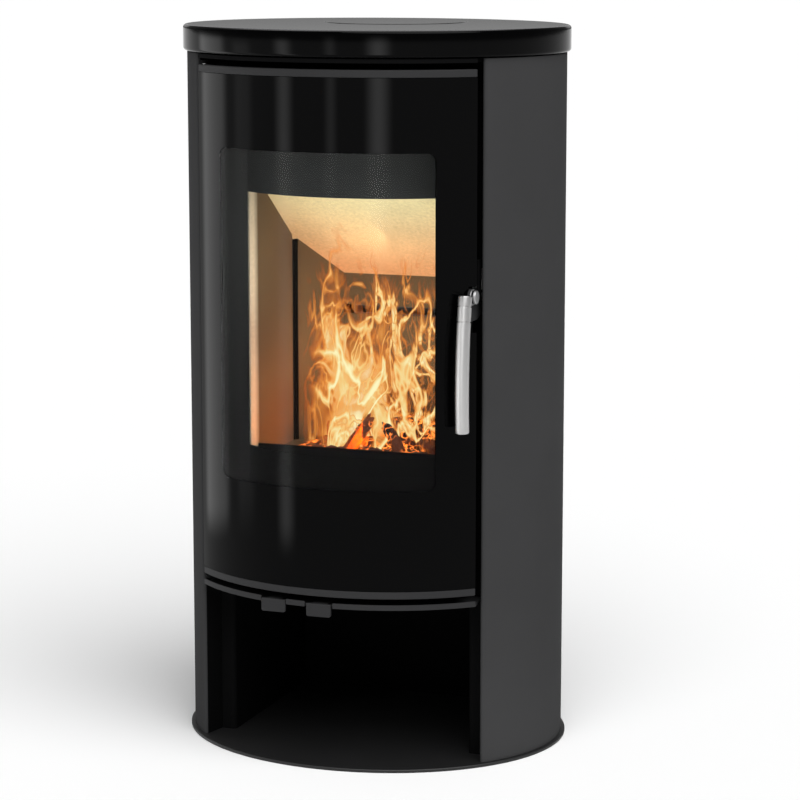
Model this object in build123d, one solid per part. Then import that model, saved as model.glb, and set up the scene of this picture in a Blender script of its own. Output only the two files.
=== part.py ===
from build123d import *
import os
from math import cos, hypot, radians, sin, sqrt, tan

os.makedirs("parts", exist_ok=True)

# Overall plan: every shell is a concentric oval, set in from the edge of the top plate
top_width = 500.0
top_depth = 436.0
panel_inset = 5.0
panel_sheet = 2.0
base_inset = 0.0
base_thickness = 4.0
lap_gap = 0.3

# Heights, counted up from the floor
store_clear_height = 203.6
ceiling_sheet = 2.0
lip_height = 6.6
gap_under_door = 7.5
door_height = 650.4
gap_over_door = 7.9
top_frame_thickness = 5.0
pad_thickness = 1.0
top_plate_thickness = 33.0

store_top = base_thickness + store_clear_height
lip_top = store_top + lip_height
door_bottom = lip_top + gap_under_door
door_top = door_bottom + door_height
frame_bottom = door_top + gap_over_door
frame_top = frame_bottom + top_frame_thickness
plate_bottom = frame_top + pad_thickness
plate_top = plate_bottom + top_plate_thickness

# Top plate, lid and spare outlet
plate_round_top = 7.0
plate_round_bottom = 5.0
lid_diameter = 182.0
lid_gap = 1.0
lid_recess = 11.5
lid_thickness = 12.0
lid_ledge = 11.0
lid_boss_height = 6.0
lid_round = 1.5
pad_diameter = 14.0
flue_rear_gap = 3.0
flue_diameter = 148.0
flue_wall = 2.0
flue_fit = 1.0
flue_frame_clearance = 21.0
cover_overlap = 6.0
cover_thickness = 3.0
cover_knob_radius = 12.0

# Angles round the oval, from the middle of the front, in degrees
door_half_angle = 47.9
panel_front_angle = 49.8
panel_rear_angle = 140.0
rear_lap_angle = 8.0
store_wall_angle = 39.8
chamber_wall_angle = 30.8
shield_edge_angle = 30.0
baffle_angle = 36.4

# Side panels and the plane of the front sheet
return_overlap = 2.0
return_taper = 8.0
bend_outside = 5.0
bend_inside = 3.0
front_sheet_setback = 43.3
front_sheet = 3.0

# Firebox
chamber_corner_run = 78.0
chamber_back_setback = 113.0
chamber_back_half_width = 85.0
lining = 28.0
wrap_sheet = 4.0
duct_depth = 17.0
box_floor_rise = 14.3
box_sheet = 4.0
ash_room_height = 104.0
hearth_lining = 25.0
roof_drop = 45.0
lining_nose_reach = 5.0
splay_width = 4.0
splay_depth = 15.0
corner_joint = 9.0
slot_rise = 191.0
slot_height = 12.0

lining_nose_width = 16.0
nose_gap = 2.0

# Openings in the front sheet
chamber_opening_drop = 55.0
ash_opening_side = 12.0
ash_opening_sill = 5.0
ash_opening_head = 6.0

# Baffles
baffle_back_drop = 250.0
baffle_thickness = 25.0
baffle_front_gap = 39.0
baffle_side_gap = 1.0
upper_baffle_drop = 48.0
upper_baffle_sheet = 3.0
upper_baffle_gap = 75.0
rail_width = 12.0
rail_height = 6.0

# Hearth
grate_width = 184.0
grate_depth = 124.0
grate_rim = 10.0
grate_bars = 9
grate_bar = 8.0
hearth_gap = 0.3
hearth_hole_margin = 14.0
guard_setback = 7.0
guard_sheet = 3.0
guard_height = 17.0
ash_pan_side_gap = 8.0
ash_pan_setback = 8.0
ash_pan_rear_gap = 25.0
ash_pan_height = 59.0
ash_pan_sheet = 1.5
ash_pull_half_width = 30.0
ash_pull_drop = 12.0

# Air supply
slide_sheet = 2.0
slide_gap = 0.4
slide_width = 20.0
slide_run = 161.0
guide_width = 6.0
slide_travel = 35.0
air_port_width = 10.0
air_port_setback = 41.0
air_port_length = 28.0
tab_width = 32.0
tab_sheet = 3.5
tab_drop = 16.0
tab_round = 2.5
tab_centres = {"secondary_air_slide": -61.5, "primary_air_slide": 1.5}
notch_side_gap = 2.5
notch_behind_gap = 4.0
air_box_sheet = 1.5
air_box_side_gap = 18.0
air_box_setback = 5.0
plenum_half_width = 60.0
plenum_depth = 128.0
plenum_back_setback = 28.0
inlet_diameter = 100.0
inlet_wall = 1.5
inlet_drop = 66.0
inlet_reach = 22.0
inlet_flange = 10.0
primary_port_half = 40.0
primary_port_gap = 45.0
primary_port_length = 40.0
slot_half_width = 72.0
duct_sheet = 1.5
duct_side_margin = 3.0
nozzle_setback = 3.0
duct_over_slot = 5.0

# Wood store
store_back_setback = 70.0
store_sheet = 2.0
store_bend = 6.0
ceiling_side_gap = 1.5

# Rear: flue spigot, heat shield and panel openings
flue_under_roof = 4.0
spigot_reach = 22.0
spigot_flange = 14.0
spigot_flange_thickness = 3.0
shield_setback = 53.0
shield_sheet = 1.5
shield_foot_gap = 14.0
shield_head_gap = 20.0
spacer_radius = 6.0
rear_hole_clearance = 21.0
inlet_hole_clearance = 12.0
vent_width = 5.0
vent_length = 40.0
vent_count = 8
vent_pitch = 13.0
low_vent_height = 60.0
high_vent_drop = 147.0

# Fasteners
screw_radius = 2.0
screw_hole_gap = 0.2
screw_head_radius = 4.5
screw_head_height = 2.2
screw_end_distance = 60.0
screw_hole_reach = 40.0
levelling_radius = 4.0
levelling_length = 34.0
levelling_nut_radius = 7.5
levelling_nut_height = 6.5
levelling_hole_gap = 0.3
levelling_side_gap = 16.0
levelling_half_spread = 60.0

# Door
door_inset = 2.7
glass_thickness = 4.0
glass_edge_gap = 0.2
gasket_skin = 0.1
glass_gasket_width = 12.0
glass_gasket_edge = 9.0
glass_gasket_side = 2.0
trim_height = 9.4
trim_depth = 12.0
trim_round = 1.0
door_sheet = 3.0
door_wall_setback = 18.5
door_body_edge = 3.0
back_flange = 17.0
door_back_gap = 10.7
seal_gap = 0.3
door_gasket_width = 9.0
door_gasket_inset = 1.0
mask_sheet = 2.0
mask_side = 17.0
mask_bottom_rise = 123.3
mask_top_drop = 88.1
window_side_gap = 3.5
window_bottom_rise = 165.3
window_top_drop = 160.1
inner_frame_inset = 60.0

# Hinges
hinge_edge_inset = 10.3
hinge_depth = 7.8
hinge_pin_radius = 3.0
hinge_pin_fit = 0.05
hinge_plate = 4.0
hinge_eye_radius = 6.0
hinge_root_width = 14.0
hinge_rest_gap = 1.0

# Latch and handle
pivot_reach = 49.0
pivot_rise = 374.3
pivot_radius = 3.0
pivot_fit = 0.05
lever_edge_gap = 5.5
lever_sheet = 3.0
hub_radius = 10.0
lever_side_gap = 0.3
washer_radius = 10.0
washer_thickness = 1.2
pin_head_radius = 8.5
pin_head_thickness = 3.0
bracket_sheet = 2.0
bracket_half_height = 8.0
bracket_back_reach = 25.0
bracket_riser_reach = 37.0
bracket_foot_rise = 12.0
bracket_foot_height = 32.0
grip_radius = 8.5
grip_length = 167.0
grip_top_rise = 4.0
grip_reach = 22.0
grip_apex_below_top = 120.0
grip_apex_reach = 11.5
groove_drops = (12.5, 31.0)
groove_width = 1.0
groove_depth = 0.6
cutout_side_gap = 3.5
cutout_below = 44.0
cutout_above = 13.0
nose_end_gap = 5.0
nose_top_drop = 9.0
nose_height = 14.0
lever_heel_drop = 30.0
arm_height = 21.0
catch_radius = 5.0
catch_gap = 0.3
catch_reach = 10.5
catch_side_gap = 8.5
catch_ear = 2.5
catch_front_reach = 17.0
catch_base = 3.0
catch_base_rise = 4.0
catch_top_rise = 30.0


def half_axes(inset):
    return top_width / 2 - inset, top_depth / 2 - inset


def front_y(inset, x):
    a, b = half_axes(inset)
    return -b * sqrt(1 - (x / a) ** 2)


def rim_point(inset, angle):
    a, b = half_axes(inset)
    return a * sin(radians(angle)), -b * cos(radians(angle))


def rim_arc(inset, start, end, steps=24):
    return [Vector(*rim_point(inset, start + (end - start) * i / steps)) for i in range(steps + 1)]


def oval(inset, z0, z1):
    a, b = half_axes(inset)
    return extrude(Plane.XY.offset(z0) * Ellipse(a, b), amount=z1 - z0)


def shell(outer, inner, z0, z1):
    return oval(outer, z0, z1) - oval(inner, z0, z1)


def prism(points, z0, z1):
    outline = make_face(Polyline(*points, close=True))
    return extrude(Plane.XY.offset(z0) * outline, amount=z1 - z0)


def block(x0, x1, y0, y1, z0, z1):
    return Pos((x0 + x1) / 2, (y0 + y1) / 2, (z0 + z1) / 2) * Box(x1 - x0, y1 - y0, z1 - z0)


def wedge(angle0, angle1, z0, z1, steps=4):
    angles = [angle0 + (angle1 - angle0) * i / steps for i in range(steps + 1)]
    return prism([Vector()] + [Vector(*rim_point(0, a)) * 2 for a in angles], z0, z1)


def upright(x, y, radius, z0, z1):
    return Pos(x, y, (z0 + z1) / 2) * Cylinder(radius, z1 - z0)


def along_x(y, z, radius, x0, x1):
    return Pos((x0 + x1) / 2, y, z) * Rot(0, 90, 0) * Cylinder(radius, x1 - x0)


def along_y(x, z, radius, y0, y1):
    return Pos(x, (y0 + y1) / 2, z) * Rot(90, 0, 0) * Cylinder(radius, y1 - y0)


def side_plate(points, x0, x1):
    outline = make_face(Polyline(*points, close=True))
    return extrude(Plane.YZ.offset(x0) * outline, amount=x1 - x0)


def nearest_edge(shape, x, y, z):
    place = Vector(x, y, z)
    return shape.edges().sort_by(lambda edge: (edge.center() - place).length)[0]


def mirrored(shape):
    return mirror(shape, about=Plane.YZ)


def write(name, shape):
    export_step(shape, f"parts/{name}.step")


# Places across the width, from the door's edges and the oval
edge_x, edge_y = rim_point(door_inset, door_half_angle)
corner_x, corner_y = rim_point(panel_inset, panel_front_angle)
store_half_width = rim_point(0, store_wall_angle)[0]
chamber_half_width = rim_point(0, chamber_wall_angle)[0]
shield_half_width = rim_point(0, shield_edge_angle)[0]
ash_opening_half = chamber_half_width + ash_opening_side
ash_pan_half_width = chamber_half_width - ash_pan_side_gap
air_box_half_width = chamber_half_width - air_box_side_gap
window_half_width = chamber_half_width + window_side_gap
door_wall = edge_x - door_wall_setback
mask_half_width = door_wall - mask_side
glass_gasket_half_width = door_wall - glass_gasket_side
lever_centre_x = edge_x - lever_edge_gap
cutout_left = lever_centre_x - cutout_side_gap
catch_left = lever_centre_x - catch_side_gap

# Places along the depth, from the plane of the front sheet and from the rear of the oval
front_plane = edge_y + front_sheet_setback
return_depth = front_plane + return_overlap - corner_y
lining_front = front_plane - lining_nose_reach
baffle_front = front_plane + baffle_front_gap
guard_front = front_plane + guard_setback
ash_pan_front = front_plane + ash_pan_setback
air_box_front = front_plane + air_box_setback
air_port_front = front_plane + air_port_setback
air_port_back = air_port_front + air_port_length
slide_back = front_plane + slide_run
pivot_y = front_plane - pivot_reach
grip_top_y = pivot_y - grip_reach
bracket_back = front_plane - bracket_back_reach
bracket_riser_front = front_plane - bracket_riser_reach
nose_end = front_plane - nose_end_gap
catch_y = front_plane - catch_reach
catch_front = front_plane - catch_front_reach
rear_edge = top_depth / 2
chamber_back = rear_edge - chamber_back_setback
flue_centre_y = chamber_back + lining + duct_depth - flue_rear_gap - flue_diameter / 2
chamber_side_end = chamber_back - chamber_corner_run
upper_baffle_back = chamber_back - upper_baffle_gap
ash_pan_back = chamber_back - ash_pan_rear_gap
primary_port_back = chamber_back - primary_port_gap
primary_port_front = primary_port_back - primary_port_length
nozzle_front = chamber_back + nozzle_setback
store_back_face = rear_edge - store_back_setback
shield_face = rear_edge - shield_setback
plenum_back = rear_edge - plenum_back_setback
spigot_end = rear_edge + spigot_reach
inlet_end = rear_edge + inlet_reach

# Heights that follow the door and the roof of the firebox
box_floor = door_bottom + box_floor_rise
hearth_plate_height = box_floor + ash_room_height
roof_height = frame_bottom - roof_drop
slot_bottom = hearth_plate_height + slot_rise
duct_top = slot_bottom + slot_height + duct_over_slot
chamber_opening_top = roof_height - chamber_opening_drop
ash_opening_bottom = box_floor + ash_opening_sill
ash_opening_top = hearth_plate_height - ash_opening_head
baffle_back_height = roof_height - baffle_back_drop
baffle_rise = tan(radians(baffle_angle))
upper_baffle_height = roof_height - upper_baffle_drop
plenum_bottom = box_floor - plenum_depth
inlet_height = box_floor - inlet_drop
rear_flue_height = roof_height - flue_under_roof - flue_diameter / 2
high_vent_height = rear_flue_height - high_vent_drop
shield_bottom = box_floor + shield_foot_gap
shield_top = frame_bottom - shield_head_gap
mask_bottom = door_bottom + mask_bottom_rise
mask_top = door_top - mask_top_drop
window_bottom = door_bottom + window_bottom_rise
window_top = door_top - window_top_drop
pivot_height = door_bottom + pivot_rise
grip_top_height = pivot_height + grip_top_rise
cutout_bottom = pivot_height - cutout_below
cutout_top = pivot_height + cutout_above
bracket_foot_bottom = pivot_height + bracket_foot_rise
bracket_foot_top = bracket_foot_bottom + bracket_foot_height
nose_top = pivot_height - nose_top_drop
nose_bottom = nose_top - nose_height
lever_heel = pivot_height - lever_heel_drop
catch_base_bottom = pivot_height + catch_base_rise
catch_top = pivot_height + catch_top_rise

# Places of the fasteners
screw_heights = (screw_end_distance, frame_bottom / 2, frame_bottom - screw_end_distance)
levelling_x = store_half_width + levelling_side_gap
levelling_places = [(x, y) for x in (levelling_x, -levelling_x)
                    for y in (-levelling_half_spread, levelling_half_spread)]


# Base plate and levelling screws
def base_plate():
    plate = oval(base_inset, 0, base_thickness)
    for x, y in levelling_places:
        plate -= upright(x, y, levelling_radius + levelling_hole_gap, 0, base_thickness)
    return plate


def levelling_screws():
    screws = []
    for x, y in levelling_places:
        nut_top = base_thickness + levelling_nut_height
        nut = extrude(Plane.XY.offset(base_thickness) * RegularPolygon(levelling_nut_radius, 6),
                      amount=levelling_nut_height)
        nut = Pos(x, y, 0) * nut - upright(x, y, levelling_radius, base_thickness, nut_top)
        stud = upright(x, y, levelling_radius, 0, levelling_length)
        screws.append(stud + nut)
    return Compound(children=screws)


write("base_plate", base_plate())
write("levelling_screws", levelling_screws())


# Side panels, each with a bent return at its front edge
def screw_holes(radius):
    holes = []
    for side in (-1, 1):
        for z in screw_heights:
            holes.append(panel_screw_axis(side, z) * Cylinder(radius, screw_hole_reach))
    return holes


def panel_screw_axis(side, z):
    angle = panel_rear_angle - rear_lap_angle / 2
    a, b = half_axes(panel_inset)
    x, y = rim_point(panel_inset, angle)
    outward = Vector(side * x / a ** 2, y / b ** 2, 0)
    return Plane(origin=(side * x, y, z), z_dir=outward).location


def right_side_panel():
    z0, z1 = base_thickness, frame_top
    corner = Vector(corner_x, corner_y)
    inward = Vector(-return_taper, return_depth).normalized()
    through = Vector(inward.Y, -inward.X) * panel_sheet
    end = corner + Vector(-return_taper, return_depth)
    ahead = corner - inward * return_depth
    rear = Vector(*rim_point(panel_inset, panel_rear_angle))
    beyond = [rear * 2, Vector(top_width, top_depth / 2), Vector(top_width, -top_depth)]
    outside = prism([ahead, end, end + through, rear * 0.9] + beyond, z0, z1)
    hollow = prism([ahead + through, end + through, Vector(), rear * 0.5] + beyond, z0 - 1, z1 + 1)
    panel = oval(panel_inset, z0, z1) & outside
    panel -= oval(panel_inset + panel_sheet, z0 - 1, z1 + 1) & hollow
    inside_corner = corner + (inward + through.normalized()) * panel_sheet
    panel = fillet(nearest_edge(panel, inside_corner.X, inside_corner.Y, (z0 + z1) / 2), bend_inside)
    panel = fillet(nearest_edge(panel, corner.X, corner.Y, (z0 + z1) / 2), bend_outside)
    for hole in screw_holes(screw_radius + screw_hole_gap):
        panel -= hole
    return panel


write("right_side_panel", right_side_panel())
write("left_side_panel", mirrored(right_side_panel()))


# Rear panel, lapped inside the side panels, with its screws
rear_outer = panel_inset + panel_sheet + lap_gap
rear_inner = rear_outer + panel_sheet


def vent_row(z):
    start = -(vent_count - 1) / 2 * vent_pitch
    slots = []
    for i in range(vent_count):
        slot = SlotOverall(vent_length, vent_width, rotation=90)
        x = start + i * vent_pitch
        slots.append(extrude(Plane.XZ * Pos(x, z, 0) * slot, amount=-top_depth))
    return slots


def rear_panel():
    start = panel_rear_angle - rear_lap_angle
    outer, inner = rim_arc(rear_outer, start, 360 - start), rim_arc(rear_inner, 360 - start, start)
    outline = make_face([Spline(*outer), Line(outer[-1], inner[0]),
                         Spline(*inner), Line(inner[-1], outer[0])])
    panel = extrude(Plane.XY.offset(base_thickness) * outline, amount=frame_bottom - base_thickness)
    flue_hole = flue_diameter / 2 + rear_hole_clearance
    cuts = [along_y(0, rear_flue_height, flue_hole, 0, top_depth),
            along_y(0, inlet_height, inlet_diameter / 2 + inlet_hole_clearance, 0, top_depth)]
    cuts += vent_row(low_vent_height) + vent_row(high_vent_height)
    return panel - (cuts + screw_holes(screw_radius + screw_hole_gap))


def panel_screws():
    screws = []
    shank = 2 * panel_sheet + lap_gap + 2
    for side in (-1, 1):
        for z in screw_heights:
            head = Pos(0, 0, 0.1 + screw_head_height / 2) * Cylinder(screw_head_radius, screw_head_height)
            stem = Pos(0, 0, 0.1 - shank / 2) * Cylinder(screw_radius, shank)
            screws.append(panel_screw_axis(side, z) * (head + stem))
    return Compound(children=screws)


write("rear_panel", rear_panel())
write("panel_screws", panel_screws())


# Wood store: folded side walls with front strips, a back sheet and the lipped ceiling
return_end_x = corner_x - return_taper


def store_right_wall():
    z0, z1 = base_thickness, store_top
    w, t = store_half_width, store_sheet
    strip_end = return_end_x - lap_gap
    outline = [(w, store_back_face), (w, front_plane), (strip_end, front_plane),
               (strip_end, front_plane + t), (w + t, front_plane + t), (w + t, store_back_face)]
    wall = prism(outline, z0, z1)
    middle = (z0 + z1) / 2
    wall = fillet(nearest_edge(wall, w + t, front_plane + t, middle), store_bend - t)
    return fillet(nearest_edge(wall, w, front_plane, middle), store_bend)


def store_back():
    w = store_half_width + store_sheet
    return block(-w, w, store_back_face, store_back_face + store_sheet, base_thickness, store_top)


lip_inset = door_inset
tab_front_y = {name: front_y(lip_inset, x) for name, x in tab_centres.items()}


def store_ceiling():
    back_x = return_end_x - ceiling_side_gap
    rear_x = store_half_width + store_sheet
    far = store_back_face + store_sheet
    zone = [(-rear_x, far), (-rear_x, front_plane + front_sheet), (-back_x, front_plane),
            (-edge_x, edge_y), (-edge_x, -top_depth), (edge_x, -top_depth), (edge_x, edge_y),
            (back_x, front_plane), (rear_x, front_plane + front_sheet), (rear_x, far)]
    sheet = prism(zone, store_top, store_top + ceiling_sheet) & oval(lip_inset, 0, plate_top)
    lip = shell(lip_inset, lip_inset + ceiling_sheet, store_top, lip_top)
    lip &= wedge(-door_half_angle, door_half_angle, store_top, lip_top)
    ceiling = sheet + lip
    for name, x in tab_centres.items():
        w = tab_width / 2 + notch_side_gap
        y1 = tab_front_y[name] + tab_sheet + notch_behind_gap
        ceiling -= block(x - w, x + w, -top_depth, y1, store_top, lip_top)
    return ceiling


write("store_right_wall", store_right_wall())
write("store_left_wall", mirrored(store_right_wall()))
write("store_back", store_back())
write("store_ceiling", store_ceiling())

# Air slides: a flat strip on the ceiling sheet with a bent tab at the front
slide_bottom = store_top + ceiling_sheet + slide_gap


def air_slide(name):
    x = tab_centres[name]
    y0 = tab_front_y[name]
    z1 = slide_bottom + slide_sheet
    strip = block(x - slide_width / 2, x + slide_width / 2, y0 + tab_sheet, slide_back, slide_bottom, z1)
    tab = block(x - tab_width / 2, x + tab_width / 2, y0, y0 + tab_sheet, z1 - tab_drop, z1)
    corners = tab.edges().filter_by(Axis.Y).group_by(Axis.Z)[0]
    tab = fillet(corners, tab_round)
    top_front = tab.edges().filter_by(Axis.X).sort_by(Axis.Z)[-2:].sort_by(Axis.Y)[0]
    tab = fillet(top_front, slide_sheet / 2)
    port = air_port(x, slide_travel, slide_bottom, z1)
    return strip + tab - port


def air_port(x, shift, z0, z1):
    w = air_port_width / 2
    return block(x - w, x + w, air_port_front + shift, air_port_back + shift, z0, z1)


for name in tab_centres:
    write(name, air_slide(name))


# Chamber plan: straight sides, slanted rear corners and a flat back, set out by an offset
def chamber_plan(offset, back_offset=None, front=None):
    back_offset = offset if back_offset is None else back_offset
    front = front_plane + front_sheet if front is None else front
    dx = chamber_half_width - chamber_back_half_width
    dy = chamber_back - chamber_side_end
    run = hypot(dx, dy)
    nx, ny = dy / run, dx / run
    level = nx * chamber_half_width + ny * chamber_side_end + offset
    x0 = chamber_half_width + offset
    y0 = (level - nx * x0) / ny
    y1 = chamber_back + back_offset
    x1 = (level - ny * y1) / nx
    right = [(x0, front), (x0, y0), (x1, y1)]
    return right + [(-x, y) for x, y in reversed(right)]


wrap_back = lining + duct_depth
hearth_top = hearth_plate_height + box_sheet
chamber_opening_bottom = hearth_top + 1
floor_top = box_floor + box_sheet
duct_half = slot_half_width + duct_side_margin
duct_front = chamber_back + lining
duct_back = duct_front + duct_depth - hearth_gap


def firebox_wrap():
    z0, z1 = floor_top, roof_height
    outer = prism(chamber_plan(lining + wrap_sheet, wrap_back + wrap_sheet), z0, z1)
    wrap = outer - prism(chamber_plan(lining, wrap_back), z0, z1)
    hole = flue_diameter / 2 + flue_fit
    return wrap - along_y(0, rear_flue_height, hole, 0, top_depth)


def firebox_floor():
    floor = prism(chamber_plan(lining + wrap_sheet, wrap_back + wrap_sheet), box_floor, floor_top)
    w = primary_port_half
    floor -= block(-w, w, primary_port_front, primary_port_back, box_floor, floor_top)
    w, y0, y1 = duct_half - duct_sheet, duct_front + duct_sheet, duct_back - duct_sheet
    return floor - block(-w, w, y0, y1, box_floor, floor_top)


def firebox_roof():
    z0, z1 = roof_height, roof_height + box_sheet
    roof = prism(chamber_plan(lining + wrap_sheet, wrap_back + wrap_sheet), z0, z1)
    return roof - upright(0, flue_centre_y, flue_diameter / 2 + flue_fit, z0, z1)


def top_outlet_cover():
    z0 = roof_height + box_sheet
    disc = upright(0, flue_centre_y, flue_diameter / 2 + cover_overlap, z0, z0 + cover_thickness)
    knob = upright(0, flue_centre_y, cover_knob_radius, z0 + cover_thickness, z0 + 3 * cover_thickness)
    return disc + knob


def hearth_plate():
    z0, z1 = hearth_plate_height, hearth_top
    plate = prism(chamber_plan(lining, wrap_back), z0, z1)
    w = grate_width / 2 - hearth_hole_margin
    d = grate_depth / 2 - hearth_hole_margin
    plate -= block(-w, w, -d, d, z0, z1)
    w = duct_half + hearth_gap
    return plate - block(-w, w, duct_front - hearth_gap, duct_back + hearth_gap, z0, z1)


write("firebox_wrap", firebox_wrap())
write("firebox_floor", firebox_floor())
write("firebox_roof", firebox_roof())
write("top_outlet_cover", top_outlet_cover())
write("hearth_plate", hearth_plate())


# Front sheet, with the chamber and ash openings, seen when the door is open
def front_frame():
    z0 = slide_bottom + slide_sheet + slide_gap
    x = return_end_x - lap_gap
    y0, y1 = front_plane, front_plane + front_sheet
    sheet = block(-x, x, y0, y1, z0, frame_bottom)
    w = chamber_half_width + lining_nose_width + nose_gap
    sheet -= block(-w, w, y0, y1, chamber_opening_bottom, chamber_opening_top)
    a = ash_opening_half
    return sheet - block(-a, a, y0, y1, ash_opening_bottom, ash_opening_top)


write("front_frame", front_frame())


# Vermiculite linings, whose tops are cut to the slope that carries the baffle
def baffle_height(y):
    return baffle_back_height + baffle_rise * (chamber_back - y)


def above_slope():
    y0, y1 = -top_depth, top_depth
    ceiling = baffle_height(y0) + plate_top
    outline = [(y0, baffle_height(y0)), (y1, baffle_height(y1)), (y1, ceiling), (y0, ceiling)]
    return side_plate(outline, -top_width, top_width)


def lining_piece(points, z0=hearth_top, z1=plate_top):
    return prism(points, z0, z1) - above_slope()


inner_plan = chamber_plan(0)
outer_plan = chamber_plan(lining - hearth_gap)


def right_side_lining():
    x, y_step = chamber_half_width, front_plane + front_sheet + hearth_gap
    nose_x = x + lining_nose_width
    outline = [inner_plan[1], outer_plan[1], (outer_plan[0][0], y_step), (nose_x, y_step),
               (nose_x, lining_front), (x + splay_width, lining_front),
               (x, lining_front + splay_depth)]
    nose_bottom = chamber_opening_bottom + nose_gap / 2
    return lining_piece(outline) - block(x, nose_x, lining_front, y_step, hearth_top, nose_bottom)


def right_corner_lining():
    start, end = Vector(*inner_plan[1]), Vector(*inner_plan[2])
    step = (end - start).normalized() * corner_joint
    outer_start, outer_end = Vector(*outer_plan[1]), Vector(*outer_plan[2])
    return lining_piece([start + step, end, outer_end, outer_start + step])


def back_lining(z0, z1):
    (x0, y0), (x1, y1) = inner_plan[2], outer_plan[2]
    g = hearth_gap
    return lining_piece([(x0 - g, y0), (x1 - g, y1), (g - x1, y1), (g - x0, y0)], z0, z1)


write("right_side_lining", right_side_lining())
write("left_side_lining", mirrored(right_side_lining()))
write("right_corner_lining", right_corner_lining())
write("left_corner_lining", mirrored(right_corner_lining()))
write("lower_back_lining", back_lining(hearth_top, slot_bottom))
write("upper_back_lining", back_lining(slot_bottom + slot_height, plate_top))


# Duct behind the back lining, with the nozzle that opens in the slot between its two halves
def rear_air_duct():
    t = duct_sheet
    w, y0, y1 = duct_half, duct_front, duct_back
    duct = block(-w, w, y0, y1, floor_top, duct_top)
    duct -= block(t - w, w - t, y0 + t, y1 - t, floor_top, duct_top - t)
    w, z0, z1 = slot_half_width, slot_bottom, slot_bottom + slot_height
    duct += block(-w, w, nozzle_front, y0, z0, z1)
    return duct - block(t - w, w - t, nozzle_front, y0 + t, z0 + t, z1 - t)


write("rear_air_duct", rear_air_duct())


# Baffles: a sloping vermiculite slab on the linings and a steel plate above it on two rails
def lower_baffle():
    edge = lining - baffle_side_gap
    plan = prism(chamber_plan(edge, wrap_back - baffle_side_gap, baffle_front), hearth_top, roof_height)
    rise = baffle_thickness * hypot(1, baffle_rise)
    y0, y1 = -top_depth, top_depth
    h0, h1 = baffle_height(y0), baffle_height(y1)
    slab = side_plate([(y0, h0), (y1, h1), (y1, h1 + rise), (y0, h0 + rise)], -top_width, top_width)
    return plan & slab


def upper_baffle():
    w = chamber_half_width + lining - baffle_side_gap
    y0 = front_plane + front_sheet + baffle_side_gap
    z0 = upper_baffle_height
    return block(-w, w, y0, upper_baffle_back, z0, z0 + upper_baffle_sheet)


def baffle_rails():
    x = chamber_half_width + lining
    z0, z1 = upper_baffle_height - rail_height, upper_baffle_height
    y0 = front_plane + front_sheet
    rail = block(x - rail_width, x, y0, upper_baffle_back, z0, z1)
    return Compound(children=[rail, mirrored(rail)])


write("lower_baffle", lower_baffle())
write("upper_baffle", upper_baffle())
write("baffle_rails", baffle_rails())

# Hearth: bars, the slabs round them, the log guard and the ash pan under them
bed_top = hearth_top + hearth_lining


def grate():
    w, d = grate_width / 2, grate_depth / 2
    iw, idp = w - grate_rim, d - grate_rim
    casting = block(-w, w, -d, d, hearth_top, bed_top) - block(-iw, iw, -idp, idp, hearth_top, bed_top)
    pitch = 2 * iw / (grate_bars + 1)
    z0 = bed_top - hearth_lining / 2
    for i in range(grate_bars):
        x = -iw + (i + 1) * pitch
        casting += block(x - grate_bar / 2, x + grate_bar / 2, -idp, idp, z0, bed_top)
    return casting


def hearth_slab(x0, x1, y0, y1):
    plan = prism(chamber_plan(-hearth_gap, -hearth_gap), hearth_top, bed_top)
    return block(x0, x1, y0, y1, hearth_top, bed_top) & plan


def hearth_linings():
    w, d = grate_width / 2 + hearth_gap, grate_depth / 2 + hearth_gap
    x, y0, y1 = chamber_half_width, front_plane + front_sheet + hearth_gap, chamber_back
    right = hearth_slab(w, x, -d, d)
    return {"front_hearth_slab": hearth_slab(-x, x, y0, -d - hearth_gap),
            "rear_hearth_slab": hearth_slab(-x, x, d + hearth_gap, y1),
            "right_hearth_slab": right, "left_hearth_slab": mirrored(right)}


def log_guard():
    w = chamber_half_width - hearth_gap
    return block(-w, w, guard_front, guard_front + guard_sheet, bed_top, bed_top + guard_height)


def ash_pan():
    w, y0, y1, t = ash_pan_half_width, ash_pan_front, ash_pan_back, ash_pan_sheet
    z0, z1 = floor_top, floor_top + ash_pan_height
    pan = block(-w, w, y0, y1, z0, z1) - block(t - w, w - t, y0 + t, y1 - t, z0 + t, z1)
    pull, reach = ash_pull_half_width, y0 - ash_pull_drop
    pan += block(-pull, pull, reach, y0, z1 - t, z1)
    return pan + block(-pull, pull, reach, reach + t, z1 - ash_pull_drop, z1)


write("grate", grate())
for name, slab in hearth_linings().items():
    write(name, slab)
write("log_guard", log_guard())
write("ash_pan", ash_pan())

# Air supply: box under the firebox floor, plenum behind the store and the round inlet
air_box_bottom = slide_bottom + slide_sheet + slide_gap
air_box_back = store_back_face + store_sheet
link_bottom, link_top = air_box_bottom + 2 * air_box_sheet, box_floor - 2 * air_box_sheet
link_half_width = plenum_half_width - 3 * air_box_sheet


def air_link():
    y0, y1 = air_box_back - air_box_sheet, air_box_back + air_box_sheet
    return block(-link_half_width, link_half_width, y0, y1, link_bottom, link_top)


def air_box():
    w, t, z0, z1 = air_box_half_width, air_box_sheet, air_box_bottom, box_floor
    tray = block(-w, w, air_box_front, air_box_back, z0, z1)
    tray -= block(t - w, w - t, air_box_front + t, air_box_back - t, z0 + t, z1)
    for x in tab_centres.values():
        tray -= air_port(x, 0, z0, z0 + t)
        for side in (-1, 1):
            inner, outer = sorted((x + side * (slide_width / 2 + slide_gap),
                                   x + side * (slide_width / 2 + guide_width)))
            tray += block(inner, outer, air_box_front, slide_back, store_top + ceiling_sheet, z0)
    return tray - air_link()


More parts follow.
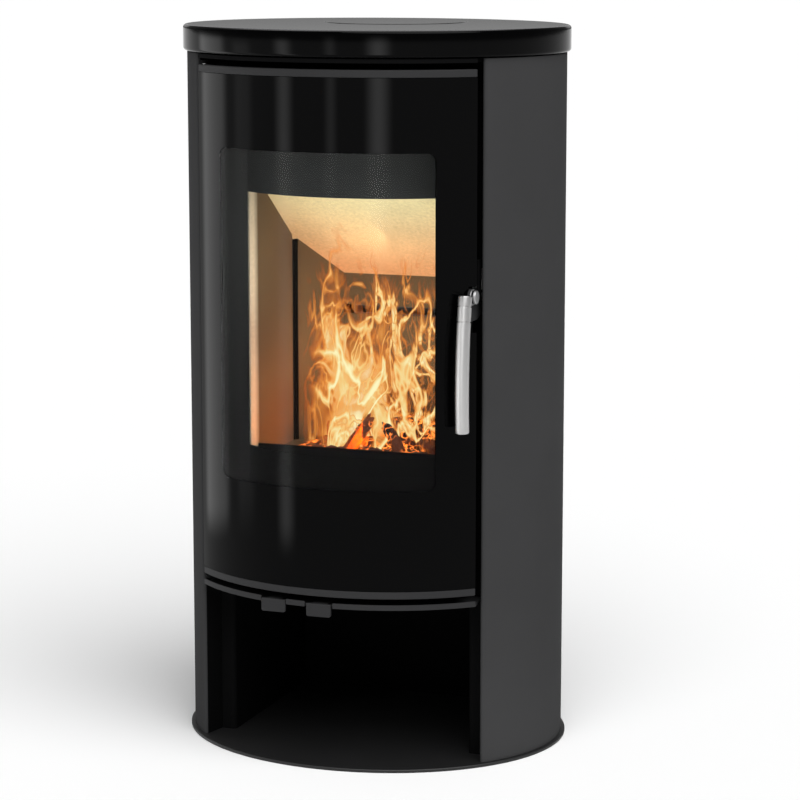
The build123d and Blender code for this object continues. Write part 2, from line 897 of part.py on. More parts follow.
def intake_plenum():
    w, t = plenum_half_width, air_box_sheet
    box = block(-w, w, air_box_back, plenum_back, plenum_bottom, box_floor)
    box -= block(t - w, w - t, air_box_back + t, plenum_back - t, plenum_bottom + t, box_floor - t)
    hole = inlet_diameter / 2 + flue_fit
    return box - air_link() - along_y(0, inlet_height, hole, plenum_back - t, plenum_back)


def round_spigot(radius, wall, z, y_inside, y_flange, y_end, flange, thickness):
    tube = along_y(0, z, radius, y_inside, y_end)
    tube += along_y(0, z, radius + flange, y_flange, y_flange + thickness)
    return tube - along_y(0, z, radius - wall, y_inside, y_end)


write("air_box", air_box())
write("intake_plenum", intake_plenum())
write("air_inlet_spigot", round_spigot(inlet_diameter / 2, inlet_wall, inlet_height,
                                       plenum_back - air_box_sheet, plenum_back, inlet_end,
                                       inlet_flange, spigot_flange_thickness))

# Flue spigot on the rear wall and the heat shield with its spacers
wrap_rear = chamber_back + wrap_back + wrap_sheet
write("flue_spigot", round_spigot(flue_diameter / 2, flue_wall, rear_flue_height,
                                  wrap_rear - wrap_sheet, wrap_rear, spigot_end,
                                  spigot_flange, spigot_flange_thickness))


def rear_heat_shield():
    w = shield_half_width
    shield = block(-w, w, shield_face, shield_face + shield_sheet, shield_bottom, shield_top)
    hole, z = flue_diameter / 2 + rear_hole_clearance, rear_flue_height
    return shield - block(-hole, hole, shield_face, shield_face + shield_sheet, z - hole, z + hole)


def shield_spacers():
    spacers = []
    x = chamber_back_half_width - 2 * spacer_radius
    for z in (shield_bottom + 4 * spacer_radius, shield_top - 6 * spacer_radius):
        for side in (-1, 1):
            spacers.append(along_y(side * x, z, spacer_radius, wrap_rear, shield_face))
    return Compound(children=spacers)


write("rear_heat_shield", rear_heat_shield())
write("shield_spacers", shield_spacers())


# Top frame, pads, ceramic plate and its lid
def return_zone(gap):
    corner = Vector(corner_x, corner_y)
    inward = Vector(-return_taper, return_depth).normalized()
    side = Vector(inward.Y, -inward.X)
    reach = hypot(return_taper, return_depth) + gap
    start, end = corner - inward * reach, corner + inward * reach
    outline = [start - side * gap, end - side * gap]
    outline += [end + side * (panel_sheet + gap), start + side * (panel_sheet + gap)]
    bend = corner + (inward + side) * panel_sheet
    relief = upright(bend.X, bend.Y, bend_inside + bend_outside, frame_bottom, frame_top)
    return prism(outline, frame_bottom, frame_top) + relief


def top_frame():
    z0, z1 = frame_bottom, frame_top
    slot = return_zone(lap_gap)
    frame = oval(rear_outer, z0, z1) - slot - mirrored(slot)
    frame += oval(door_inset, z0, z1) & wedge(-door_half_angle, door_half_angle, z0, z1)
    return frame - upright(0, flue_centre_y, flue_diameter / 2 + flue_frame_clearance, z0, z1)


def top_plate_pads():
    pads = []
    for angle in (45, 135, 225, 315):
        x, y = rim_point(3 * pad_diameter, angle)
        pads.append(upright(x, y, pad_diameter / 2, frame_top, plate_bottom))
    return Compound(children=pads)


def top_plate():
    plate = oval(0, plate_bottom, plate_top)
    rims = plate.edges().sort_by(Axis.Z)
    plate = fillet(rims[-1], plate_round_top)
    plate = fillet(plate.edges().sort_by(Axis.Z)[0], plate_round_bottom)
    seat = lid_diameter / 2 + lid_gap
    plate -= upright(0, flue_centre_y, seat, plate_top - lid_recess, plate_top)
    return plate - upright(0, flue_centre_y, lid_diameter / 2 - lid_ledge, plate_bottom, plate_top)


def flue_lid():
    z0 = plate_top - lid_recess
    disc = upright(0, flue_centre_y, lid_diameter / 2, z0, z0 + lid_thickness)
    disc = fillet(disc.edges().sort_by(Axis.Z)[-1], lid_round)
    boss = lid_diameter / 2 - lid_ledge - lid_gap
    return disc + upright(0, flue_centre_y, boss, z0 - lid_boss_height, z0)


write("top_frame", top_frame())
write("top_plate_pads", top_plate_pads())
write("top_plate", top_plate())
write("flue_lid", flue_lid())

# Door: curved glass held between two bars in front of a steel body with a flat back
hinge_x = hinge_edge_inset - edge_x
hinge_y = front_y(door_inset, hinge_x) + hinge_depth
glass_back = door_inset + glass_thickness
body_inset = door_inset + trim_depth
body_bottom = door_bottom + door_body_edge
body_top = door_top - door_body_edge
body_half = door_wall + door_sheet
door_back = front_plane - door_back_gap
glass_bottom = door_bottom + trim_height + glass_edge_gap
glass_top = door_top - trim_height - glass_edge_gap


def door_sector(shape, z0, z1):
    return shape & wedge(-door_half_angle, door_half_angle, z0, z1)


def door_glass():
    z0, z1 = glass_bottom, glass_top
    glass = door_sector(shell(door_inset, glass_back, z0, z1), z0, z1)
    return glass - block(cutout_left, top_width, -top_depth, 0, cutout_bottom, cutout_top)


def door_trim(z0):
    z1 = z0 + trim_height
    bar = door_sector(shell(door_inset, door_inset + trim_depth, z0, z1), z0, z1)
    face = bar.faces().sort_by(lambda f: -f.area)[0]
    bar = fillet(face.edges().filter_by(lambda e: e.length > trim_height * 2), trim_round)
    return bar - upright(hinge_x, hinge_y, hinge_pin_radius + hinge_pin_fit, z0, z1)


def door_body():
    w = body_half
    z0, z1 = body_bottom, body_top
    return oval(body_inset, z0, z1) & block(-w, w, -top_depth, door_back, z0, z1)


def door_frame():
    z0, z1, t, w = body_bottom, body_top, door_sheet, body_half
    body = door_body()
    frame = body & block(-w, w, -top_depth, 0, z0, z0 + t)
    frame += body & block(-w, w, -top_depth, 0, z1 - t, z1)
    side = body & block(door_wall, w, -top_depth, 0, z0, z1)
    mask = body - oval(body_inset + mask_sheet, z0, z1)
    mask -= block(-mask_half_width, mask_half_width, -top_depth, 0, mask_bottom, mask_top)
    return frame + side + mirrored(side) + mask


def inner_door_frame():
    z0, z1, t, w = body_bottom + door_sheet, body_top - door_sheet, door_sheet, door_wall
    curved = shell(inner_frame_inset, inner_frame_inset + t, z0, z1)
    curved &= block(-w, w, -top_depth, door_back, z0, z1)
    wing = block(window_half_width - t, w, door_back - t, door_back, z0, z1)
    low = block(-w, w, door_back - t, door_back, z0, z0 + back_flange - t)
    high = block(-w, w, door_back - t, door_back, z1 - back_flange + t, z1)
    frame = curved + wing + mirrored(wing) + low + high
    top_front = -half_axes(inner_frame_inset - t)[1]
    w = window_half_width
    return frame - block(-w, w, top_front, door_back, window_bottom, window_top)


def rectangular_ring(shape, half_width, width, z0, z1):
    outer = block(-half_width, half_width, -top_depth, 0, z0, z1)
    w = half_width - width
    inner = block(-w, w, -top_depth, 0, z0 + width, z1 - width)
    return shape & (outer - inner)


def glass_gasket():
    skin = shell(glass_back + gasket_skin, body_inset - gasket_skin, door_bottom, door_top)
    z0, z1 = glass_bottom + glass_gasket_edge, glass_top - glass_gasket_edge
    return rectangular_ring(skin, glass_gasket_half_width, glass_gasket_width, z0, z1)


def door_gasket():
    w = door_wall - door_gasket_inset
    slab = block(-w, w, door_back, front_plane - seal_gap, door_bottom, door_top)
    z0, z1 = body_bottom + door_gasket_inset, body_top - door_gasket_inset
    return rectangular_ring(slab, w, door_gasket_width, z0, z1)


write("door_glass", door_glass())
write("door_top_trim", door_trim(door_top - trim_height))
write("door_bottom_trim", door_trim(door_bottom))
write("door_frame", door_frame())
write("inner_door_frame", inner_door_frame())
write("glass_gasket", glass_gasket())
write("door_gasket", door_gasket())


# Hinge brackets on the front sheet and the pins that turn in the door's bars
def hinge_bracket(z0):
    z1 = z0 + hinge_plate
    r = hinge_eye_radius
    eye = upright(hinge_x, hinge_y, r, z0, z1)
    root = hinge_x - r + hinge_root_width
    arm = [(hinge_x - r, hinge_y), (hinge_x + r, hinge_y), (root, front_plane), (hinge_x - r, front_plane)]
    return eye + prism(arm, z0, z1) - upright(hinge_x, hinge_y, hinge_pin_radius + hinge_pin_fit, z0, z1)


lower_bracket = door_bottom - hinge_rest_gap - hinge_plate
upper_bracket = door_top + hinge_rest_gap


def hinge_pins():
    reach = hinge_plate + hinge_rest_gap + trim_height - hinge_rest_gap
    low = upright(hinge_x, hinge_y, hinge_pin_radius, lower_bracket, lower_bracket + reach)
    z1 = upper_bracket + hinge_plate
    high = upright(hinge_x, hinge_y, hinge_pin_radius, z1 - reach, z1)
    return Compound(children=[low, high])


brackets = [hinge_bracket(lower_bracket), hinge_bracket(upper_bracket)]
write("hinge_brackets", Compound(children=brackets))
write("hinge_pins", hinge_pins())

# Handle: a bowed round grip on a lever that turns on a pin through the glass cut-out
bow_radius = grip_apex_below_top ** 2 / (2 * grip_apex_reach)
apex_height = grip_top_height - grip_apex_below_top
apex_y = grip_top_y - grip_apex_reach
lever_left = lever_centre_x - lever_sheet / 2
lever_right = lever_centre_x + lever_sheet / 2


def grip_point(drop):
    z = grip_top_height - drop
    return Vector(lever_centre_x, apex_y + (z - apex_height) ** 2 / (2 * bow_radius), z)


def grip_plane(drop):
    return Plane(origin=grip_point(drop), z_dir=grip_point(drop - 1) - grip_point(drop + 1))


def handle_grip():
    path = ThreePointArc(grip_point(0), grip_point(grip_length / 2), grip_point(grip_length))
    grip = sweep(Plane(origin=path @ 0, z_dir=path % 0) * Circle(grip_radius), path=path)
    for drop in groove_drops:
        ring = Cylinder(grip_radius + 1, groove_width) - Cylinder(grip_radius - groove_depth, groove_width)
        grip -= grip_plane(drop).location * ring
    return grip


def handle_lever():
    arm_y = grip_point(groove_drops[1]).Y
    arm_top = grip_top_height - groove_drops[0]
    outline = [(arm_y, arm_top), (pivot_y, pivot_height + hub_radius / 2),
               (pivot_y + hub_radius, pivot_height - hub_radius / 2),
               (pivot_y + 2 * hub_radius, nose_top), (nose_end, nose_top), (nose_end, nose_bottom),
               (pivot_y + 2 * hub_radius, lever_heel), (arm_y, arm_top - arm_height)]
    plate = side_plate(outline, lever_left, lever_right)
    plate += along_x(pivot_y, pivot_height, hub_radius, lever_left, lever_right)
    plate -= along_x(pivot_y, pivot_height, pivot_radius + pivot_fit, lever_left, lever_right)
    return plate - handle_grip()


washer_left = lever_right + lever_side_gap
bracket_left = washer_left + washer_thickness
bracket_right = bracket_left + bracket_sheet


def pivot_washer():
    disc = along_x(pivot_y, pivot_height, washer_radius, washer_left, bracket_left)
    return disc - along_x(pivot_y, pivot_height, pivot_radius + pivot_fit, washer_left, bracket_left)


def latch_bracket():
    z0, z1 = pivot_height - bracket_half_height, pivot_height + bracket_half_height
    outline = [(pivot_y, z0), (bracket_back, z0), (bracket_back, bracket_foot_top),
               (bracket_riser_front, bracket_foot_top), (bracket_riser_front, z1), (pivot_y, z1)]
    plate = side_plate(outline, bracket_left, bracket_right)
    plate += along_x(pivot_y, pivot_height, bracket_half_height, bracket_left, bracket_right)
    plate -= along_x(pivot_y, pivot_height, pivot_radius + pivot_fit, bracket_left, bracket_right)
    foot = block(body_half, bracket_right, bracket_back - bracket_sheet, bracket_back,
                 bracket_foot_bottom, bracket_foot_top)
    return plate + foot


def handle_pin():
    tip = bracket_right + pin_head_thickness
    head = along_x(pivot_y, pivot_height, pin_head_radius, bracket_right, tip)
    head = fillet(head.edges().filter_by(GeomType.CIRCLE).sort_by(Axis.X)[-1], 1.0)
    return head + along_x(pivot_y, pivot_height, pivot_radius, lever_left - 1, bracket_right)


def latch_catch():
    z = nose_top + catch_gap + catch_radius
    right = lever_right
    pin = along_x(catch_y, z, catch_radius, catch_left, right)
    ear = block(catch_left, catch_left + catch_ear, catch_front, front_plane, nose_top, catch_top)
    base = block(catch_left, right - lever_side_gap, front_plane - catch_base, front_plane,
                 catch_base_bottom, catch_top)
    return pin + ear + base


write("handle_grip", handle_grip())
write("handle_lever", handle_lever())
write("pivot_washer", pivot_washer())
write("latch_bracket", latch_bracket())
write("handle_pin", handle_pin())
write("latch_catch", latch_catch())
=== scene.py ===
"""Oval wood stove with a curved glass door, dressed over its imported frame."""

from __future__ import annotations

import logging
import math
from collections import Counter
from dataclasses import dataclass, field
from enum import Enum
from random import Random

import bmesh
import bpy
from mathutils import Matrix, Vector
from mathutils.geometry import delaunay_2d_cdt

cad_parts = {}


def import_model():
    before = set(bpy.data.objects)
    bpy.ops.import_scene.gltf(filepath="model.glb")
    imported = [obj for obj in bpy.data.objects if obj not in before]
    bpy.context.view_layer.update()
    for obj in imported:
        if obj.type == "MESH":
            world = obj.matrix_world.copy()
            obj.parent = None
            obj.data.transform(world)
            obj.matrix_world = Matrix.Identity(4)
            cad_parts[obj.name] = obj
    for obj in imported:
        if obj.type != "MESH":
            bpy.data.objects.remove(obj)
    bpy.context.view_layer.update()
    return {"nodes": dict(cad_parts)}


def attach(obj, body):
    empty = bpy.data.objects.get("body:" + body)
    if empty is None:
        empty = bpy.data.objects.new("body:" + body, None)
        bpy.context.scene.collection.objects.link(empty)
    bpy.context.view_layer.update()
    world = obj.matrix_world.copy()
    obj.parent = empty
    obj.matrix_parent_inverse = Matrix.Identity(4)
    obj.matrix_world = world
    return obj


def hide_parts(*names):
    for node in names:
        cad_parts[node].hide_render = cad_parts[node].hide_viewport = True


log = logging.getLogger("wood_stove")

Pair = tuple[float, float]
Place = tuple[float, float, float]
Colour = tuple[float, float, float]
Face = tuple[int, ...]
Piece = bpy.types.Object
Material = bpy.types.Material
Socket = bpy.types.NodeSocket
Feed = Socket | float | Colour


class Body(Enum):
    """The bodies that new pieces ride on."""

    STOVE = "stove"
    DOOR = "door"
    HANDLE = "handle"
    LID = "lid"


class Slot(Enum):
    """The record's material slots."""

    GLAZE = "glazed_top"
    PANEL = "panel_grey"
    BLACK = "black_steel"
    GLASS = "black_glass"
    TRIM = "trim_grey"
    GRIP = "brushed_steel"


class Side(Enum):
    """The two sides of the stove, by the sign of their X."""

    RIGHT = 1
    LEFT = -1


class Axis(Enum):
    """The axes of a piece."""

    ACROSS = "X"
    DEPTH = "Y"
    UP = "Z"


class Step(Enum):
    """The steps of arithmetic that node trees use."""

    ADD = "ADD"
    SUBTRACT = "SUBTRACT"
    MULTIPLY = "MULTIPLY"
    UNSIGNED = "ABSOLUTE"
    FOLD = "PINGPONG"


# Plan and meshes


@dataclass(frozen=True)
class OvalPlan:
    """The oval that every shell of the stove follows, in metres."""

    half_width: float = 0.250
    half_depth: float = 0.218

    def at(self, inset: float, angle: float) -> Vector:
        """Point of the oval set in by inset, at an angle in degrees from the middle of the front."""
        t = math.radians(angle)
        return Vector(((self.half_width - inset) * math.sin(t), -(self.half_depth - inset) * math.cos(t)))

    def tangent(self, inset: float, angle: float) -> Vector:
        """Unit direction of travel along the oval, with the angle growing.

        Args:
            inset: how far the oval is set in.
            angle: degrees from the middle of the front.

        Returns:
            The direction.
        """
        t = math.radians(angle)
        along = (self.half_width - inset) * math.cos(t), (self.half_depth - inset) * math.sin(t)
        return Vector(along).normalized()

    def arc(self, inset: float, start: float, end: float, steps: int) -> list[Vector]:
        """Points along the oval between two angles in degrees, steps + 1 of them."""
        return [self.at(inset, start + (end - start) * i / steps) for i in range(steps + 1)]

    def ring(self, inset: float, count: int) -> list[Vector]:
        """A closed ring of points round the oval."""
        return [self.at(inset, 360.0 * i / count) for i in range(count)]


PLAN = OvalPlan()


def ring_about(centre: Vector, side: Vector, up: Vector, reaches: list[float]) -> list[Vector]:
    """A closed ring of points round an axis.

    Args:
        centre: the ring's middle.
        side: unit direction of the first point.
        up: unit direction of the point a quarter turn on.
        reaches: distance of each point from the middle.

    Returns:
        The ring's points.
    """
    turns = [2 * math.pi * i / len(reaches) for i in range(len(reaches))]
    return [centre + reach * (side * math.cos(t) + up * math.sin(t)) for t, reach in zip(turns, reaches)]


def quarter(radius: float, steps: int) -> list[Pair]:
    """Set-in and drop of points round a quarter turn, from the side face to the flat face."""
    turns = [math.pi / 2 * i / steps for i in range(steps + 1)]
    return [(radius * (1 - math.cos(t)), radius * (1 - math.sin(t))) for t in turns]


def new_piece(name: str, vertices: list[Vector], faces: list[Face], sharp: float = 35.0) -> Piece:
    """Makes a smooth-shaded mesh object.

    Args:
        name: the piece's name.
        vertices: corner points in metres.
        faces: corner numbers of each face.
        sharp: edges that turn by more than this many degrees stay sharp.

    Returns:
        The new object, linked to the scene.
    """
    mesh = bpy.data.meshes.new(name)
    mesh.from_pydata([tuple(v) for v in vertices], [], faces)
    mesh.validate()
    bm = bmesh.new()
    bm.from_mesh(mesh)
    bmesh.ops.recalc_face_normals(bm, faces=bm.faces)
    bm.to_mesh(mesh)
    bm.free()
    mesh.shade_smooth()
    mesh.set_sharp_from_angle(angle=math.radians(sharp))
    piece = bpy.data.objects.new(name, mesh)
    bpy.context.scene.collection.objects.link(piece)
    return piece


def ring_body(name: str, rings: list[list[Vector]], closed: bool = False, sharp: float = 35.0) -> Piece:
    """A body whose skin joins each ring of points to the next.

    Args:
        name: the piece's name.
        rings: the rings, all with as many points.
        closed: joins the last ring to the first, where both are else capped.
        sharp: edges that turn by more than this many degrees stay sharp.

    Returns:
        The closed solid.
    """
    rows, count = len(rings), len(rings[0])
    faces: list[Face] = []
    for r in range(rows if closed else rows - 1):
        s = (r + 1) % rows
        for i in range(count):
            j = (i + 1) % count
            faces.append((r * count + i, r * count + j, s * count + j, s * count + i))
    if not closed:
        faces += [tuple(range(count)), tuple(range((rows - 1) * count, rows * count))]
    return new_piece(name, [point for ring in rings for point in ring], faces, sharp)


def lift(point: Vector, z: float) -> Vector:
    """Lifts a point in plan to a height."""
    return Vector((point.x, point.y, z))


def strip_solid(name: str, outer: list[Vector], inner: list[Vector], low: float, high: float) -> Piece:
    """A bent strip of sheet standing between two heights.

    Args:
        name: the piece's name.
        outer: plan points of one face.
        inner: plan points of the other face, as many.
        low: lower height.
        high: upper height.

    Returns:
        The closed solid.
    """
    rings = [[lift(a, low), lift(b, low), lift(b, high), lift(a, high)] for a, b in zip(outer, inner)]
    return ring_body(name, rings)


def soften(piece: Piece, width: float, segments: int = 2, turn: float = 40.0) -> None:
    """Rounds a piece's sharp edges by a small bevel.

    Args:
        piece: the piece.
        width: width of the rounding.
        segments: steps round it.
        turn: edges that turn by more than this many degrees are rounded.
    """
    bevel = piece.modifiers.new("edge_round", "BEVEL")
    bevel.width = width
    bevel.segments = segments
    bevel.limit_method = "ANGLE"
    bevel.angle_limit = math.radians(turn)
    bevel.harden_normals = True


# Node trees


@dataclass(frozen=True)
class Noise:
    """A noise pattern: bumps per metre, octaves, factor on each axis and distortion."""

    scale: float
    detail: float = 2.0
    stretch: Place = (1.0, 1.0, 1.0)
    warp: float = 0.0


class Nodes:
    """A node tree under construction, with short calls for what finishes and lamps need."""

    def __init__(self, tree: bpy.types.NodeTree) -> None:
        """Keeps the tree."""
        self.tree = tree

    def feed(self, value: Feed, target: Socket) -> None:
        """Links a socket to the target, or sets the target to a constant.

        Args:
            value: the socket or the constant.
            target: the input that takes it.
        """
        if isinstance(value, Socket):
            self.tree.links.new(value, target)
        elif target.type == "RGBA":
            target.default_value = (*value, 1.0)
        else:
            target.default_value = value

    def node(self, kind: str, feeds: dict[str | int, Feed], **options: str) -> bpy.types.Node:
        """Adds a node, sets its options and feeds its inputs.

        Args:
            kind: the node's type, without the start that all types share.
            feeds: sockets or constants by the input's name or number.
            options: the node's own settings.

        Returns:
            The new node.
        """
        node = self.tree.nodes.new(f"ShaderNode{kind}")
        for key, option in options.items():
            setattr(node, key, option)
        for key, value in feeds.items():
            self.feed(value, node.inputs[key])
        return node

    def work(self, step: Step, first: Feed, second: Feed = 0.0) -> Socket:
        """One step of arithmetic between sockets or numbers."""
        return self.node("Math", {0: first, 1: second}, operation=step.value).outputs[0]

    def product(self, first: Socket, *others: Feed) -> Socket:
        """Multiplies a socket by other sockets or numbers.

        Args:
            first: the socket.
            others: what multiplies it.

        Returns:
            The product's socket.
        """
        for other in others:
            first = self.work(Step.MULTIPLY, first, other)
        return first

    def away(self, source: Socket, middle: float = 0.0) -> Socket:
        """How far a value is from a middle, without a sign."""
        return self.work(Step.UNSIGNED, self.work(Step.SUBTRACT, source, middle))

    def part(self, vector: Socket, axis: Axis) -> Socket:
        """One coordinate of a vector."""
        return self.node("SeparateXYZ", {0: vector}).outputs[axis.value]

    def span(self, source: Socket, to: Pair, over: Pair = (0.0, 1.0)) -> Socket:
        """Maps a value from one range to another, clamped.

        Args:
            source: the value.
            to: results at the two ends.
            over: values at the two ends.

        Returns:
            The result's socket.
        """
        ends = dict(zip(("From Min", "From Max", "To Min", "To Max"), over + to))
        return self.node("MapRange", {"Value": source, **ends}).outputs["Result"]


class Shader(Nodes):
    """A node material under construction."""

    DRIFT: Place = (1.0, 1.7, 0.6)

    def __init__(self, name: str) -> None:
        """Starts a material with one Principled shader.

        Args:
            name: the material's name.
        """
        self.material = bpy.data.materials.new(name)
        self.material.use_nodes = True
        super().__init__(self.material.node_tree)
        self.tree.nodes.clear()
        self.surface = self.node("BsdfPrincipled", {})
        self.out = self.node("OutputMaterial", {"Surface": self.surface.outputs[0]})
        self.origin = self.node("TexCoord", {}).outputs["Object"]
        self.place = self.origin

    def fix(self, **values: Feed) -> None:
        """Feeds the Principled shader's own inputs, whose names are written with underscores."""
        for name, value in values.items():
            self.feed(value, self.surface.inputs[name.replace("_", " ")])

    def axis(self, axis: Axis) -> Socket:
        """One coordinate of the object's own place."""
        return self.part(self.origin, axis)

    def noise(self, noise: Noise) -> Socket:
        """The value of a noise over the material's place.

        Args:
            noise: the pattern.

        Returns:
            The factor's socket.
        """
        spread = self.node("Mapping", {"Vector": self.place, "Scale": noise.stretch}).outputs["Vector"]
        feeds = {"Vector": spread, "Scale": noise.scale, "Detail": noise.detail, "Distortion": noise.warp}
        return self.node("TexNoise", feeds).outputs["Fac"]

    def drift(self, distance: float, noise: Noise, amount: float) -> None:
        """Moves the material's place, so that two sheets differ, and pushes it about by a noise.

        Args:
            distance: length of the move, uneven between the axes by the shares in DRIFT.
            noise: the pattern that pushes.
            amount: how far it pushes.
        """
        move = tuple(distance * share for share in self.DRIFT)
        self.place = self.node("VectorMath", {0: self.place, 1: move}, operation="ADD").outputs[0]
        push = self.noise(noise).node.outputs["Color"]
        feeds = {0: push, 1: (amount, amount, amount), 2: self.place}
        self.place = self.node("VectorMath", feeds, operation="MULTIPLY_ADD").outputs[0]

    def ramp(self, source: Socket, stops: tuple[tuple[float, Colour], ...]) -> Socket:
        """A colour ramp driven by a value.

        Args:
            source: the value.
            stops: value and colour of each stop.

        Returns:
            The colour's socket.
        """
        node = self.node("ValToRGB", {"Fac": source})
        elements = node.color_ramp.elements
        while len(elements) < len(stops):
            elements.new(0.5)
        for element, (place, colour) in zip(elements, stops):
            element.position = place
            element.color = (*colour, 1.0)
        return node.outputs["Color"]

    def tints(self, source: Socket, colour: Colour, factors: Pair, over: Pair) -> Socket:
        """A ramp from a darker to a lighter tint of a colour.

        Args:
            source: the value that drives it.
            colour: the colour.
            factors: factor on the colour at the two ends.
            over: values at the two ends.

        Returns:
            The colour's socket.
        """
        ends = [tuple(share * factor for share in colour) for factor in factors]
        return self.ramp(source, tuple(zip(over, ends)))

    def mix(self, factor: Socket, first: Feed, second: Feed) -> Socket:
        """Mixes two colours."""
        return self.node("Mix", {0: factor, 6: first, 7: second}, data_type="RGBA").outputs[2]

    def lines(self, source: Socket, width: float) -> Socket:
        """Thin lines where a noise crosses its middle."""
        return self.span(self.away(source, 0.5), (1.0, 0.0), (0.0, width))

    def bump(self, source: Socket, relief: Pair) -> None:
        """Adds a bump, given by its strength and its height in metres."""
        feeds = {"Height": source, "Strength": relief[0], "Distance": relief[1]}
        self.fix(Normal=self.node("Bump", feeds).outputs["Normal"])


# Finishes


@dataclass(frozen=True)
class Grained:
    """A finish with a grain, such as paint, woven rope or brushed steel, in clouds of two tints."""

    name: str
    colour: Colour
    roughness: float = 0.55
    specular: float = 0.35
    grain: Noise = Noise(1500.0)
    relief: Pair = (0.5, 0.00006)
    cloud: Noise = Noise(6.0, 4.0)
    cloud_range: Pair = (0.3, 0.7)
    tints: Pair = (0.93, 1.07)
    unevenness: float = 0.04
    metallic: float = 0.0

    def material(self) -> Material:
        """Builds the material.

        Returns:
            The material.
        """
        shader = Shader(self.name)
        cloud, grain = shader.noise(self.cloud), shader.noise(self.grain)
        rough = shader.span(cloud, (self.roughness - self.unevenness, self.roughness + self.unevenness))
        shader.fix(Base_Color=self.tone(shader, cloud, grain), Roughness=rough)
        shader.fix(Specular_IOR_Level=self.specular, Metallic=self.metallic)
        shader.bump(grain, self.relief)
        return shader.material

    def tone(self, shader: Shader, cloud: Socket, _grain: Socket) -> Socket:
        """The colour over the surface."""
        return shader.tints(cloud, self.colour, self.tints, self.cloud_range)


@dataclass(frozen=True)
class TopLitPaint(Grained):
    """Stove paint inside the door, black at the foot, with painted light greying it toward the top."""

    painted_light_top_colour: Colour = (0.048, 0.050, 0.050)
    heights: Pair = (0.42, 0.74)

    def tone(self, shader: Shader, _cloud: Socket, _grain: Socket) -> Socket:
        """The colour over the surface."""
        # Painted light: the colour greys toward the top.
        rise = shader.span(shader.axis(Axis.UP), (0.0, 1.0), self.heights)
        return shader.mix(rise, self.colour, self.painted_light_top_colour)


@dataclass(frozen=True)
class Vermiculite(Grained):
    """Pressed mineral board: tan flakes that change colour from front to rear, as painted light on the
    baffle.

    The first length of the chamber's slanted corner can be sooted, where two boards leave a joint.
    """

    roughness: float = 0.9
    specular: float = 0.1
    grain: Noise = Noise(260.0, 4.0)
    relief: Pair = (0.5, 0.0003)
    cloud: Noise = Noise(9.0, 4.0)
    cloud_range: Pair = (0.38, 0.62)
    tints: Pair = (0.86, 1.12)
    unevenness: float = 0.0
    rear_colour: Colour = (0.135, 0.095, 0.056)
    change: Pair = (-0.098, -0.088)
    grain_share: float = 0.45
    sooted_run: float = 0.0
    soot: Colour = (0.004, 0.003, 0.002)
    soot_edge: float = 0.0008
    corner_start: Pair = (0.128, 0.027)  # where the chamber's slanted right corner begins, in plan
    corner_run: Pair = (-0.4828, 0.8757)  # its direction toward the rear

    def tone(self, shader: Shader, cloud: Socket, grain: Socket) -> Socket:
        """The colour over the surface.

        Args:
            shader: the material under construction.
            cloud: the coarse noise.
            grain: the fine noise.

        Returns:
            The colour's socket.
        """
        fine, coarse = shader.product(grain, self.grain_share), shader.product(cloud, 1 - self.grain_share)
        value = shader.work(Step.ADD, fine, coarse)
        colours = (self.colour, self.rear_colour)
        ends = [shader.tints(value, colour, self.tints, self.cloud_range) for colour in colours]
        # Colour by depth: on the baffle, painted light from the fire.
        colour = shader.mix(shader.span(shader.axis(Axis.DEPTH), (0.0, 1.0), self.change), *ends)
        return shader.mix(self.clean(shader), self.soot, colour) if self.sooted_run else colour

    def clean(self, shader: Shader) -> Socket:
        """A value that is 0 along the sooted run and 1 past it.

        Args:
            shader: the material under construction.

        Returns:
            The value's socket.
        """
        (x, y), (dx, dy) = self.corner_start, self.corner_run
        across = shader.product(shader.away(shader.axis(Axis.ACROSS)), dx)
        along = shader.work(Step.ADD, across, shader.product(shader.axis(Axis.DEPTH), dy))
        first = x * dx + y * dy + self.sooted_run
        return shader.span(along, (0.0, 1.0), (first, first + self.soot_edge))


@dataclass(frozen=True)
class Smooth:
    """An even finish: fired glaze or gloss print with or without a faint wave, or clear glass."""

    name: str
    colour: Colour
    roughness: float
    specular: float = 0.5
    relief: Pair = (0.0, 0.0)
    wave: Noise = Noise(40.0)
    bending: float = 1.5
    clear: float = 0.0

    def material(self) -> Material:
        """Builds the material.

        Returns:
            The material.
        """
        shader = Shader(self.name)
        shader.fix(Base_Color=self.colour, Roughness=self.roughness, Specular_IOR_Level=self.specular)
        shader.fix(IOR=self.bending, Transmission_Weight=self.clear)
        if any(self.relief):
            shader.bump(shader.noise(self.wave), self.relief)
        return shader.material


@dataclass(frozen=True)
class Charred:
    """Burning wood: black, cracked char that glows in its cracks."""

    name: str
    colours: tuple[Colour, Colour] = ((0.020, 0.010, 0.010), (0.30, 0.070, 0.022))
    heat: float = 3.0
    lump: Noise = Noise(55.0, 4.0, warp=1.2)
    cloud: Noise = Noise(24.0, 4.0)
    colour_range: Pair = (0.42, 0.66)
    glow: Colour = (1.0, 0.22, 0.03)
    glow_range: Pair = (0.40, 0.56)
    relief: Pair = (0.9, 0.004)
    crack: float = 0.05
    roughness: float = 0.85

    def material(self) -> Material:
        """Builds the material.

        Returns:
            The material.
        """
        shader = Shader(self.name)
        cloud, lump = shader.noise(self.cloud), shader.noise(self.lump)
        warm = shader.span(cloud, (1.0, 0.0), self.glow_range)
        colour = shader.ramp(cloud, tuple(zip(self.colour_range, self.colours)))
        shader.fix(Base_Color=colour, Roughness=self.roughness, Emission_Color=self.glow)
        shader.fix(Emission_Strength=shader.product(shader.lines(lump, self.crack), warm, self.heat))
        shader.bump(lump, self.relief)
        return shader.material


